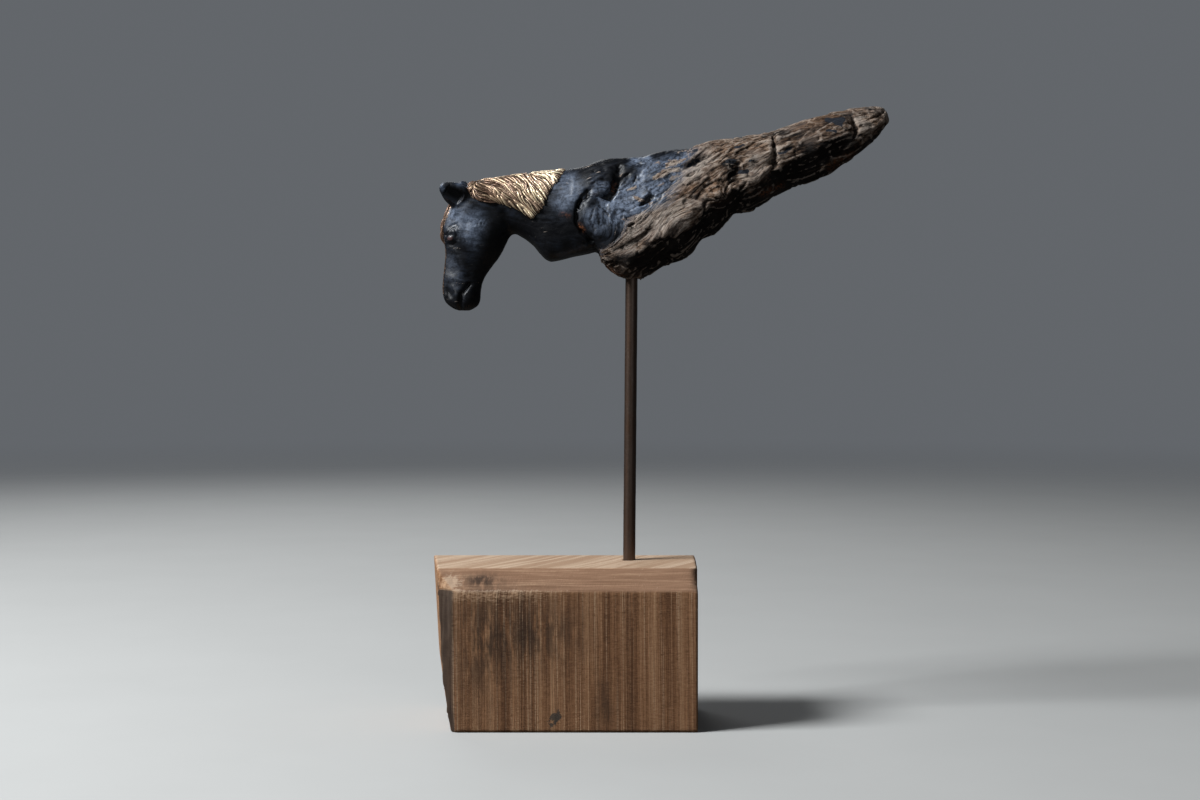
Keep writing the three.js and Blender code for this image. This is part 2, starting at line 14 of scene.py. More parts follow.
import bpy
import numpy as np
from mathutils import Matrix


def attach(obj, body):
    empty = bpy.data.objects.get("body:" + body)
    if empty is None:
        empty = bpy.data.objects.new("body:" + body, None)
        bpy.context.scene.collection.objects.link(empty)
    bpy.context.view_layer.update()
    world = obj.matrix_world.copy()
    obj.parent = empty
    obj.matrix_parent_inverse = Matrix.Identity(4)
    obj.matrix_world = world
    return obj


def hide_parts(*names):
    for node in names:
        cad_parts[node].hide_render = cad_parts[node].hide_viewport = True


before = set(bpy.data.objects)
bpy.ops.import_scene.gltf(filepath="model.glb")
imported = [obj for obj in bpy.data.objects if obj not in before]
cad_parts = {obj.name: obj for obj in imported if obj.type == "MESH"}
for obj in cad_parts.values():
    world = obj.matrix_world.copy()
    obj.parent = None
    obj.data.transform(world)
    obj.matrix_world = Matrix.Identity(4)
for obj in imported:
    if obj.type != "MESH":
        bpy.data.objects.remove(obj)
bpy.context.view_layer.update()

log = logging.getLogger("driftwood_horse")

Values = np.ndarray
Points = np.ndarray
Colour = tuple[float, float, float]
Pair = tuple[float, float]
Line = tuple[Pair, ...]
Socket = bpy.types.NodeSocket

MM = 0.001
BODY = "root"


class Face(Enum):
    """The parts of the block's surface that look different from its long faces."""

    BEVEL = "bevel"
    TOP = "top"
    WANE = "wane"


# Curves, repeatable noise and distances


def smoothstep(low: float, high: float, value: Values) -> Values:
    """Rises smoothly from 0 to 1 between two values, of which the first may be the higher."""
    t = np.clip((value - low) / (high - low), 0.0, 1.0)
    return t * t * (3.0 - 2.0 * t)


def mix(a: Values, b: Values, t: Values) -> Values:
    """Goes from a to b as t goes from 0 to 1."""
    return a + (b - a) * t


class Profile:
    """A smooth curve through (position, value) pairs, which keeps its end values beyond them."""

    def __init__(self, *pairs: Pair) -> None:
        """Works out the slope at each pair.

        Args:
            pairs: The (position, value) pairs, in order.
        """
        self.at, self.value = np.array(pairs, float).T
        before = np.maximum(np.arange(len(pairs)) - 1, 0)
        after = np.minimum(np.arange(len(pairs)) + 1, len(pairs) - 1)
        self.slope = (self.value[after] - self.value[before]) / (self.at[after] - self.at[before])

    def __call__(self, position: Values) -> Values:
        """Reads the curve.

        Args:
            position: Where to read it.

        Returns:
            Its values there.
        """
        x = np.clip(position, self.at[0], self.at[-1])
        i = np.clip(np.searchsorted(self.at, x, side="left") - 1, 0, len(self.at) - 2)
        span = self.at[i + 1] - self.at[i]
        t = (x - self.at[i]) / span
        rest = 1.0 - t
        ends = self.value[i] * (1 + 2 * t) * rest * rest + self.value[i + 1] * (3 - 2 * t) * t * t
        return ends + span * t * rest * (self.slope[i] * rest - self.slope[i + 1] * t)


def scatter(i: Values, j: Values, k: Values) -> Values:
    """A repeatable number from -1 to 1 for each whole-number place.

    Args:
        i: Whole numbers.
        j: Whole numbers.
        k: Whole numbers.

    Returns:
        One number for each place.
    """
    low_bits = 0xFFFFFFFF
    mixed = (i * 374761393) ^ (j * 668265263) ^ (k * 1274126177)
    h = (mixed & low_bits).astype(np.uint32)
    h = (h ^ (h >> np.uint32(13))) * np.uint32(1103515245)
    return (h ^ (h >> np.uint32(16))).astype(float) / 2147483648.0 - 1.0


def noise(x: Values, y: Values, z: Values) -> Values:
    """Those numbers, blended smoothly between their places.

    Args:
        x: First coordinate, in steps of the noise.
        y: Second coordinate.
        z: Third coordinate.

    Returns:
        Numbers from -1 to 1.
    """
    corner = [np.floor(c).astype(np.int64) for c in (x, y, z)]
    u, v, w = (smoothstep(0.0, 1.0, c - low) for c, low in zip((x, y, z), corner))
    i, j, k = corner

    def level(c: Values) -> Values:
        """Blends the four corners of one level."""
        near = mix(scatter(i, j, c), scatter(i + 1, j, c), u)
        return mix(near, mix(scatter(i, j + 1, c), scatter(i + 1, j + 1, c), u), v)

    return mix(level(k), level(k + 1), w)


def fibres(grain: Points, along: float, across: float, shift: float = 0.0) -> Values:
    """Noise with strokes of a given length and width along the grain, moved so that two of a size differ."""
    return noise(grain[:, 0] / along + shift, grain[:, 1] / across, grain[:, 2] / across + shift)


def blend(a: Values, b: Values, width: float) -> Values:
    """Joins two distances with a fillet about as wide as the given width."""
    t = np.clip(0.5 + 0.5 * (b - a) / width, 0.0, 1.0)
    return mix(b, a, t) - width * t * (1.0 - t)


def oval_distance(a: Values, b: Values, half_a: Values, half_b: Values, power: Values) -> Values:
    """Distance to a superellipse round the origin, along the ray from its centre.

    Args:
        a: First coordinate.
        b: Second coordinate.
        half_a: Half its size along the first.
        half_b: Half its size along the second.
        power: 2 is an ellipse, and more is squarer.

    Returns:
        Distances, below zero inside.
    """
    reach = np.hypot(a, b) + 1e-6
    q = ((np.abs(a) / half_a) ** power + (np.abs(b) / half_b) ** power) ** (1.0 / power)
    return reach - reach / np.maximum(q, 1e-6)


@dataclass(frozen=True)
class Mark:
    """A line of relief on one side, cut in where its height is below zero."""

    line: Line
    width: float
    height: float = 1.0

    def nearest(self, x: Values, z: Values) -> tuple[Values, Values]:
        """Finds the nearest point of the line.

        Args:
            x: Along.
            z: Up.

        Returns:
            The distance to that point, and how far along the line it is, from 0 to 1.
        """
        lengths = [math.dist(a, b) for a, b in zip(self.line, self.line[1:])]
        nearest, along, passed = np.full(np.shape(x), np.inf), np.zeros(np.shape(x)), 0.0
        for (x0, z0), (x1, z1), length in zip(self.line, self.line[1:], lengths):
            dx, dz = x1 - x0, z1 - z0
            t = np.clip(((x - x0) * dx + (z - z0) * dz) / length**2, 0.0, 1.0)
            away = np.hypot(x - x0 - t * dx, z - z0 - t * dz)
            along = np.where(away < nearest, (passed + t * length) / sum(lengths), along)
            nearest = np.minimum(nearest, away)
            passed += length
        return nearest, along

    def lift(self, x: Values, z: Values) -> Values:
        """Height of the relief, which fades off beside the line."""
        return self.height * np.exp(-((self.nearest(x, z)[0] / self.width) ** 2))

    def cut(self, x: Values, z: Values) -> Values:
        """Height of a sharp cut, which is widest and deepest halfway along its line.

        Args:
            x: Along.
            z: Up.

        Returns:
            Heights in millimetres.
        """
        away, along = self.nearest(x, z)
        share = 0.25 + 3 * along * (1 - along)
        return self.height * share * np.maximum(1 - away / (self.width * share), 0)


@dataclass(frozen=True)
class Spot:
    """An oval patch on one side, which fades off round its centre."""

    x: float
    z: float
    half_width: float
    half_height: float
    strength: float = 1.0
    wander: float = 0.0

    def at(self, x: Values, z: Values, stray: Values = 0.0) -> Values:
        """The patch's strength at each place.

        Args:
            x: Along.
            z: Up.
            stray: How far what follows the spot is moved along, so that its edge is ragged.

        Returns:
            Numbers from 0 to the spot's strength.
        """
        from_x = (x + self.wander * stray - self.x) / self.half_width
        from_z = (z - self.z) / self.half_height
        return self.strength * np.exp(-(from_x**2 + from_z**2))


# The carved form, as it is in the solids


@dataclass(frozen=True)
class HeadForm:
    """The head, which hangs down, by level sections from the muzzle to the poll."""

    front: Profile = Profile(
        (-16, -82), (-15, -85.4), (-13, -88.6), (-11, -90.3), (-7, -91.4), (-3, -91.5), (4, -90.8),
        (11, -90.1), (15, -90.3), (19, -90.9), (23, -91.1), (27, -90.4), (32, -88.6), (36, -86.2),
        (40, -82.5), (43, -78),
    )
    back: Profile = Profile(
        (-16, -80), (-15.2, -77.5), (-13.5, -74.8), (-11, -73.4), (-7, -73), (-3, -72.4), (0.5, -71),
        (5, -68), (10, -64.2), (15, -61.4), (19.5, -59.6), (24, -59), (29, -60.5), (34, -64), (39, -68.5),
        (43, -74),
    )
    half_width: Profile = Profile(
        (-16, 2.4), (-14, 4.8), (-11, 6.1), (-7, 6.3), (-2, 5.5), (4, 5.7), (10, 6.9), (16, 8.4), (20, 9.2),
        (25, 9.1), (31, 8.5), (37, 7.2), (42, 4.6), (44, 3),
    )
    chin: float = -15.6
    poll: float = 43.0
    squareness: float = 2.35
    face_taper: float = 0.3
    jaw_taper: float = 0.22

    def distance(self, x: Values, y: Values, z: Values) -> Values:
        """Distance to the head's surface, below zero inside.

        Args:
            x: Towards the tail.
            y: Away from the viewer.
            z: Up.

        Returns:
            Distances in millimetres.
        """
        front, back = self.front(z), self.back(z)
        u = (2 * x - front - back) / (back - front)
        taper = 1 - self.face_taper * smoothstep(0.1, 1, -u) - self.jaw_taper * smoothstep(0.35, 1, u)
        half = self.half_width(z) * taper
        section = oval_distance(x - (front + back) / 2, y, (back - front) / 2, half, self.squareness)
        return np.maximum.reduce([section, self.chin - z, z - self.poll])


@dataclass(frozen=True)
class NeckForm:
    """The neck, which runs level from the poll to the shoulder."""

    crest: Profile = Profile(
        (-85, 39), (-80, 43.4), (-76, 45.8), (-64, 48), (-49, 50.1), (-32, 52.2), (-15, 55.4), (0, 56.8),
    )
    throat: Profile = Profile(
        (-85, 30), (-76, 25), (-66, 22.6), (-57, 21.8), (-52, 19.1), (-47.5, 15.6), (-44, 11.5),
        (-41.5, 9.1), (-38.5, 8), (-27, 10.6), (-14, 13.8), (0, 18),
    )
    half_width: Profile = Profile(
        (-85, 5.5), (-76, 7), (-66, 7.8), (-56, 8.7), (-47, 10.3), (-38, 11.6), (-25, 12.8), (-10, 13.4),
        (0, 12),
    )
    start: float = -84.0
    end: float = 0.0
    widest_at: float = 0.46
    crest_taper: float = 0.3
    roundness: float = 2.0
    chest_squareness: float = 3.0

    def distance(self, x: Values, y: Values, z: Values) -> Values:
        """Distance to the neck's surface, below zero inside.

        Args:
            x: Towards the tail.
            y: Away from the viewer.
            z: Up.

        Returns:
            Distances in millimetres.
        """
        top, foot = self.crest(x), self.throat(x)
        middle = mix(foot, top, self.widest_at)
        above = z > middle
        rise = np.where(above, top - middle, middle - foot)
        u = np.maximum((z - middle) / rise, 0)
        half = self.half_width(x) * (1 - self.crest_taper * u * u)
        underside = mix(self.roundness, self.chest_squareness, smoothstep(-52, -38, x))
        section = oval_distance(z - middle, y, rise, half, np.where(above, self.roundness, underside))
        return np.maximum.reduce([section, self.start - x, x - self.end])


@dataclass(frozen=True)
class WoodForm:
    """The driftwood, a twisted and tapering length."""

    top: Profile = Profile(
        (-27, 48.5), (-15, 55.2), (0, 57.4), (14, 60.8), (28, 62.2), (36, 64.9), (48, 67.3), (67, 70),
        (82, 75.1), (96, 79.7), (111, 82.4), (119, 83), (123, 80.8), (125, 77),
    )
    foot: Profile = Profile(
        (-27, 30), (-21, 22), (-16.5, 13.5), (-13.5, 7.8), (-10, 3.6), (-5, 0.6), (2.5, -0.4), (9, 2.2),
        (15, 5.6), (20, 7), (26.5, 10.2), (30, 13.4), (33.5, 18), (40, 21.6), (46, 27.6), (50, 31.4),
        (55.5, 31.6), (60, 33.6), (70, 40.2), (77, 43.7), (88.5, 47.6), (97, 51), (106, 57.6), (115, 65),
        (122, 72.6), (125, 77),
    )
    near_ridge: Profile = Profile(
        (-27, 38), (-18, 24), (-12, 14), (-1, 12), (8.5, 17.4), (15, 19.8), (24, 22), (29, 26),
        (33.5, 31.5), (39, 35.6), (53, 42.5), (60, 46.2), (68, 52.4), (78, 61), (86, 64), (100, 66.2),
        (108, 69.8), (116, 73.6), (125, 77),
    )
    far_ridge: Profile = Profile(
        (-27, 38), (-10, 24), (10, 27), (30, 38), (50, 50), (75, 60), (100, 68), (125, 77),
    )
    half_width: Profile = Profile(
        (-27, 8.5), (-20, 13.2), (-14, 14.6), (-6, 15.8), (4, 17.4), (15, 18.2), (25, 17.6), (38, 15.4),
        (52, 13), (66, 11.4), (80, 10.2), (94, 9.4), (106, 8.2), (115, 6.6), (121, 4.4), (125, 2),
    )
    sway: Profile = Profile((0, 0), (40, 0.8), (80, 2.6), (125, 4.5))
    start: float = -26.0
    end: float = 124.2
    far_side_share: float = 0.9
    top_roundness: float = 1.9
    foot_roundness: float = 1.7

    def distance(self, x: Values, y: Values, z: Values) -> Values:
        """Distance to the driftwood's surface, below zero inside.

        Args:
            x: Towards the tail.
            y: Away from the viewer.
            z: Up.

        Returns:
            Distances in millimetres.
        """
        across = y - self.sway(x)
        ridge = mix(self.near_ridge(x), self.far_ridge(x), smoothstep(-5, 5, across))
        above = z > ridge
        rise = np.maximum(np.where(above, self.top(x) - ridge, ridge - self.foot(x)), 1)
        half = self.half_width(x) * np.where(across > 0, self.far_side_share, 1)
        power = np.where(above, self.top_roundness, self.foot_roundness)
        section = oval_distance(z - ridge, across, rise, half, power)
        return np.maximum.reduce([section, self.start - x, x - self.end])


@dataclass(frozen=True)
class EarForm:
    """A leaf with a scoop out of the side that it opens to."""

    base: tuple[float, float, float]
    tip: tuple[float, float, float]
    opens: tuple[float, float, float]
    width: float
    depth: float
    width_along: Profile = Profile((0, 0.8), (0.3, 1), (0.6, 0.88), (0.85, 0.56), (1, 0.3))
    scoop_out: float = 1.25
    scoop_width: float = 0.66
    scoop_depth: float = 0.95
    scoop_reach: float = 6.0
    root: float = 0.25

    def place(self, points: Points) -> tuple[Values, Values, Values, float]:
        """Places in the ear's own frame.

        Args:
            points: Places in the carving's frame.

        Returns:
            How far each point is along the ear from 0 to 1, out of its open side and across it, and the
            ear's length.
        """
        base = np.array(self.base)
        axis = np.array(self.tip) - base
        length = float(np.linalg.norm(axis))
        axis /= length
        opens = np.array(self.opens) - np.dot(self.opens, axis) * axis
        opens /= np.linalg.norm(opens)
        offset = points - base
        return offset @ axis / length, offset @ opens, offset @ np.cross(axis, opens), length

    def distance(self, points: Points) -> Values:
        """Distance to the ear's surface, below zero inside.

        Args:
            points: Places in the carving's frame.

        Returns:
            Distances in millimetres.
        """
        along, out, across, length = self.place(points)
        width = self.width * self.width_along(along)
        depth = self.depth * self.width_along(along)
        leaf = oval_distance(across, out, width, depth, 2)
        inner = out - self.scoop_out * depth
        scoop = oval_distance(across, inner, self.scoop_width * width, self.scoop_depth * depth, 2)
        closed = smoothstep(0.25, 0.05, along) + smoothstep(0.75, 0.95, along)
        hollow = -scoop - self.scoop_reach * closed
        return np.maximum.reduce([leaf, hollow, (along - 1) * length, -(along + self.root) * length])


NEAR_EAR = EarForm((-79.6, -4.6, 37), (-91.7, -8, 44.3), (-0.2, -0.95, -0.25), 6, 3.3)
FAR_EAR = EarForm((-79.8, 4.6, 38.6), (-82.2, 7.5, 47.4), (-0.75, 0.5, 0.1), 4.8, 3)

FACE_MARKS = (
    Mark(((-78.4, -3.1), (-81.9, -7.4), (-82.9, -14.5)), 1.3, -1),
    Mark(((-88.2, -6.6), (-87.2, -8.4)), 1.4, -0.9),
    Mark(((-86.4, -4.4), (-84.8, -7.8)), 1.4, 0.5),
    Mark(((-88.6, 22.6), (-84.8, 22.4)), 1.7, 1),
    Mark(((-87.4, 19), (-86.4, 19)), 1.9, 1.3),
    Mark(((-88, 15.6), (-84.6, 14.8)), 1.2, -0.6),
    Mark(((-84.6, 12), (-80, 3)), 1.8, 0.7),
    Mark(((-70.5, 23), (-70.5, 17)), 6.5, 1.1),
    Mark(((-61.5, 31), (-59.4, 24), (-60.6, 17)), 2, -0.9),
)
UPPER_CREVICE = Mark(((-6.2, 51.5), (-8.8, 44), (-11.2, 38.8)), 1.9, -2.4)
SLIT = Mark(((9.7, 38.6), (5.4, 34.8)), 1.3, -1.5)
NEAR_WOOD_MARKS = (
    UPPER_CREVICE,
    Mark(((-11.2, 38.8), (-16.5, 38.2)), 1.5, -1.2),
    Mark(((-20.6, 40), (-24.4, 35)), 1.7, -1.8),
    Mark(((-24.4, 35), (-25.8, 27), (-24, 22.6), (-19, 18)), 1.5, -1.3),
    SLIT,
    Mark(((35, 58), (31, 55.6), (26.6, 52.6)), 2, -1.8),
    Mark(((16, 25), (24, 31.5)), 7, 1.7),
    Mark(((39, 41), (43, 38.4)), 3.4, 1.4),
    Mark(((68.2, 67.5), (68.6, 60), (67.8, 54)), 1.4, -1.5),
    Mark(((105.5, 78), (107.2, 70.5)), 1.8, -1.6),
    Mark(((4, 5.5), (20, 14)), 4.6, -2.2),
    Mark(((36, 27), (50, 37)), 4, -2),
    Mark(((70, 47), (86, 56), (98, 59.5)), 4.2, -2.4),
)
FAR_WOOD_MARKS = (
    Mark(((-4, 40), (6, 46), (16, 48)), 2.2, -1.8),
    Mark(((28, 40), (40, 47)), 6, 1.3),
    Mark(((60, 58), (76, 66)), 1.8, -1.6),
)


def strayed(points: Points, reach: float) -> Points:
    """Moves the points about, so that what is drawn through them has ragged edges.

    Args:
        points: Places in the carving's frame.
        reach: About how far they move, in millimetres.

    Returns:
        The new places.
    """
    x, y, z = points.T

    def wander(shift: float) -> Values:
        """A wide sway with a narrow one on it, moved by the shift so that two of them differ."""
        return noise(x / 3.4 + shift, y / 3.4, z / 3.4) + 0.45 * noise(x / 1.3, y / 1.3 + shift, z / 1.3)

    return np.stack([x + reach * wander(0), y, z + reach * wander(40)], axis=1)


def relief_of(near: tuple[Mark, ...], far: tuple[Mark, ...], points: Points, ease: float) -> Values:
    """Height of the named marks, which die out towards the middle plane.

    Args:
        near: Marks on the side that faces the viewer.
        far: Marks on the other side.
        points: Where to read them.
        ease: Distance from the middle plane at which they reach their full height.

    Returns:
        Heights in millimetres.
    """
    x, y, z = points.T
    none = np.zeros(len(points))
    near_height, far_height = (sum((mark.lift(x, z) for mark in marks), none) for marks in (near, far))
    return np.where(y < 0, near_height, far_height) * smoothstep(0.6, ease, np.abs(y))


@dataclass(frozen=True)
class HairForm:
    """Where the mane lies on the neck and the forelock on the forehead, and how they stand up."""

    near_edge: Profile = Profile(
        (-79.5, 43), (-78.3, 40.4), (-76.2, 37.7), (-69, 35.4), (-64, 35.3), (-58, 33.5), (-53.5, 31.4),
        (-48.6, 27.6), (-46.2, 29.3), (-43, 32.6), (-39.4, 40.9), (-34.8, 47.2), (-32, 52), (-28, 60),
    )
    far_edge: Profile = Profile(
        (-79.5, 44), (-74, 39.5), (-60, 38.5), (-47, 38), (-38, 43.5), (-32, 52), (-28, 60),
    )
    rise: float = 0.8
    lock: float = 7.4
    lock_rise: float = 0.5
    forelock_half_width: float = 3.4
    forelock_top: float = 37.0
    forelock_foot: float = 16.0
    forelock_rise: float = 0.7
    forelock_lock: float = 2.6
    forelock_lock_rise: float = 0.25

    def inside(self, points: Points) -> Values:
        """How far each point is inside the edge of the mane, in millimetres of height."""
        x, y, z = points.T
        return z - mix(self.near_edge(x), self.far_edge(x), smoothstep(-1, 1, y))

    def mane_cover(self, points: Points) -> Values:
        """1 under the mane and 0 outside it."""
        between = smoothstep(-79.8, -78.4, points[:, 0]) * smoothstep(-28, -30, points[:, 0])
        return smoothstep(0, 1.2, self.inside(points)) * between

    def forelock_cover(self, points: Points) -> Values:
        """1 under the forelock and 0 outside it.

        Args:
            points: Places in the carving's frame.

        Returns:
            Numbers from 0 to 1.
        """
        x, y, z = points.T
        foot, top = self.forelock_foot, self.forelock_top
        span = self.forelock_half_width * mix(0.35, 1, smoothstep(foot, top - 6, z))
        cover = np.clip(span - np.abs(y), 0, 1)
        cover = cover * cover * (3 - 2 * cover)
        return cover * smoothstep(foot, foot + 4, z) * smoothstep(top + 3, top, z) * smoothstep(-82, -85, x)

    def height(self, points: Points, crest: Profile) -> Values:
        """Height of the mane and forelock together.

        Args:
            points: Where to read it.
            crest: The neck's upper line.

        Returns:
            Heights in millimetres.
        """
        x, y, z = points.T
        fall = crest(x) - z
        phase = (x + 76 - 0.55 * fall - 0.02 * fall * fall) / self.lock
        settle = smoothstep(0, 5, fall)
        mane = self.rise * mix(0.5, 1, settle) + self.lock_rise * settle * np.cos(2 * math.pi * phase)
        strands = np.cos(2 * math.pi * y / self.forelock_lock)
        forelock = self.forelock_rise + self.forelock_lock_rise * strands
        return self.mane_cover(points) * mane + self.forelock_cover(points) * forelock


@dataclass(frozen=True)
class CarvedForm:
    """The whole carving as one distance field."""

    head: HeadForm = HeadForm()
    neck: NeckForm = NeckForm()
    wood: WoodForm = WoodForm()
    hair: HairForm = HairForm()
    ears: tuple[EarForm, ...] = (NEAR_EAR, FAR_EAR)
    grain_line: Profile = Profile(
        (-27, -4), (0, 6), (20, 20), (40, 37), (60, 48), (80, 56), (100, 63), (125, 71),
    )
    socket_radius: float = 3.3
    socket_depth: float = 18.3
    rod_slope: float = math.tan(math.radians(0.45))

    def wood_cover(self, x: Values, z: Values) -> Values:
        """1 on the driftwood and 0 on the carved neck."""
        return smoothstep(-29, -17, x + 0.16 * (34 - z))

    def weathering(self, points: Points) -> Values:
        """Height of the long swellings and furrows of the old wood.

        Args:
            points: Places in the carving's frame.

        Returns:
            Heights in millimetres.
        """
        x, y, z = points.T
        across = z - self.grain_line(x)
        lump = noise(x / 17, y / 8, across / 8)
        furrow = noise(x / 26, y / 5, across / 5)
        on_side = mix(0.35, 1, smoothstep(2, 8, np.abs(y)))
        return self.wood_cover(x, z) * on_side * (0.8 * lump + 0.9 * furrow)

    def distance(self, points: Points) -> Values:
        """Distance to the carving's surface.

        Args:
            points: Places in the carving's frame.

        Returns:
            Distances, below zero inside the wood.
        """
        x, y, z = points.T
        distance = blend(self.head.distance(x, y, z), self.neck.distance(x, y, z), 5)
        distance = blend(distance, self.wood.distance(x, y, z), 4)
        distance = distance - self.hair.height(points, self.neck.crest) - self.weathering(points)
        distance -= relief_of(FACE_MARKS, FACE_MARKS, points, 3.4)
        distance -= relief_of(NEAR_WOOD_MARKS, FAR_WOOD_MARKS, strayed(points, 0.9), 3.4)
        near_ears = (x <= -72) & (z >= 30)
        for ear in self.ears:
            distance[near_ears] = blend(distance[near_ears], ear.distance(points[near_ears]), 1.2)
        socket = np.maximum(np.hypot(x - self.rod_slope * z, y) - self.socket_radius, z - self.socket_depth)
        return np.maximum(distance, -socket)

    def slope(self, points: Points, here: Values) -> Points:
        """How the distance grows along each axis.

        Args:
            points: Places in the carving's frame.
            here: The distances there.

        Returns:
            One direction for each point.
        """
        step = 0.05
        grown = [(self.distance(points + step * axis) - here) / step for axis in np.eye(3)]
        return np.stack(grown, axis=1)

    def settle(self, points: Points, turns: int = 4, reach: float = 0.9) -> tuple[Points, Points]:
        """Pulls points onto the surface.

        Args:
            points: Places close to the surface.
            turns: How often they are pulled.
            reach: The furthest that one may move.

        Returns:
            The places on the surface and the outward directions there.
        """
        moved = points.copy()
        for _ in range(turns):
            here = self.distance(moved)
            slope = self.slope(moved, here)
            moved -= slope * (here / np.maximum((slope * slope).sum(1), 0.2))[:, None]
        travel = moved - points
        length = np.linalg.norm(travel, axis=1)
        moved = points + travel * (np.minimum(length, reach) / np.maximum(length, 1e-9))[:, None]
        slope = self.slope(moved, self.distance(moved))
        return moved, slope / np.maximum(np.linalg.norm(slope, axis=1), 1e-6)[:, None]


# Meshes


@dataclass
class Surface:
    """A mesh as arrays: its points and its four-sided or three-sided faces."""

    points: Points
    faces: list[tuple[int, ...]]

    def edges(self) -> np.ndarray:
        """Each edge of the mesh once, as a pair of point numbers."""
        sides = np.array([(f[i], f[(i + 1) % len(f)]) for f in self.faces for i in range(len(f))])
        return np.unique(np.sort(sides, axis=1), axis=0)

    def smoothed(self, turns: int) -> Points:
        """Moves each point to the mean of its neighbours, again and again.

        Args:
            turns: How often.

        Returns:
            The new places.
        """
        edges = self.edges()
        ends = np.concatenate([edges[:, 0], edges[:, 1]])
        others = np.concatenate([edges[:, 1], edges[:, 0]])
        count = np.maximum(np.bincount(ends, minlength=len(self.points)), 1)
        points = self.points.copy()
        for _ in range(turns):
            sums = [np.bincount(ends, points[others, a], minlength=len(points)) for a in range(3)]
            points = np.stack(sums, axis=1) / count[:, None]
        return points


def copy_of(node: str) -> Surface:
    """Copies a node's mesh, with its doubled points merged.

    Args:
        node: The node's name.

    Returns:
        Its surface, in millimetres.
    """
    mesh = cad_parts[node].data
    points = np.zeros(len(mesh.vertices) * 3)
    mesh.vertices.foreach_get("co", points)
    rounded = np.round(points.reshape(-1, 3) / MM, 4)
    places, where = np.unique(rounded, axis=0, return_inverse=True)
    where = where.reshape(-1)
    return Surface(places, [tuple(where[list(face.vertices)]) for face in mesh.polygons])


def mesh_from(name: str, surface: Surface) -> bpy.types.Mesh:
    """Makes a smooth-shaded mesh.

    Args:
        name: The mesh's name.
        surface: Its points and faces.

    Returns:
        The mesh.
    """
    mesh = bpy.data.meshes.new(name)
    mesh.from_pydata(surface.points.tolist(), [], [tuple(map(int, face)) for face in surface.faces])
    mesh.update()
    mesh.shade_smooth()
    return mesh


def remeshed(surface: Surface, voxel: float) -> Surface:
    """The same surface in even four-sided faces.

    Args:
        surface: A closed surface.
        voxel: Size of the new faces, in its own units.

    Returns:
        The new surface.
    """
    scratch = bpy.data.objects.new("scratch", mesh_from("scratch", surface))
    bpy.context.scene.collection.objects.link(scratch)
    remesh = scratch.modifiers.new("Even faces", "REMESH")
    remesh.mode = "VOXEL"
    remesh.voxel_size = voxel
    bpy.context.view_layer.update()
    evaluated = scratch.evaluated_get(bpy.context.evaluated_depsgraph_get())
    result = bpy.data.meshes.new_from_object(evaluated)
    points = np.zeros(len(result.vertices) * 3)
    result.vertices.foreach_get("co", points)
    faces = [tuple(face.vertices) for face in result.polygons]
    bpy.data.objects.remove(scratch)
    bpy.data.meshes.remove(result)
    return Surface(points.reshape(-1, 3), faces)


def add_attribute(mesh: bpy.types.Mesh, name: str, values: Points) -> None:
    """Keeps three numbers at each point of a mesh, for its material to read."""
    attribute = mesh.attributes.new(name, "FLOAT_VECTOR", "POINT")
    attribute.data.foreach_set("vector", np.ascontiguousarray(values, np.float32).ravel())


def triples(*values: Values) -> Points:
    """Up to three numbers at each point side by side, with zeros for what is missing."""
    missing = [np.zeros(len(values[0]))] * (3 - len(values))
    return np.stack([*values, *missing], axis=1)


def rod_ends() -> tuple[np.ndarray, np.ndarray, np.ndarray]:
    """Finds the rod's line from its solid.

    Returns:
        The middle of its foot, the middle of its head, and the direction from one to the other.
    """
    points = copy_of("steel_rod").points
    height, flat = points[:, 2], 0.5
    foot = points[height < height.min() + flat].mean(0)
    head = points[height > height.max() - flat].mean(0)
    return foot, head, (head - foot) / np.linalg.norm(head - foot)


def link_piece(name: str, mesh: bpy.types.Mesh, material: bpy.types.Material, node: str) -> bpy.types.Object:
    """Makes a finished piece that stands for a node of the frame.

    Args:
        name: The piece's name.
        mesh: Its mesh, in metres and in place.
        material: Its material.
        node: The node, whose solid is hidden.

    Returns:
        The piece.
    """
    piece = bpy.data.objects.new(name, mesh)
    bpy.context.scene.collection.objects.link(piece)
    mesh.materials.clear()
    mesh.materials.append(material)
    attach(piece, BODY)
    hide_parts(node)
    return piece


# Node trees


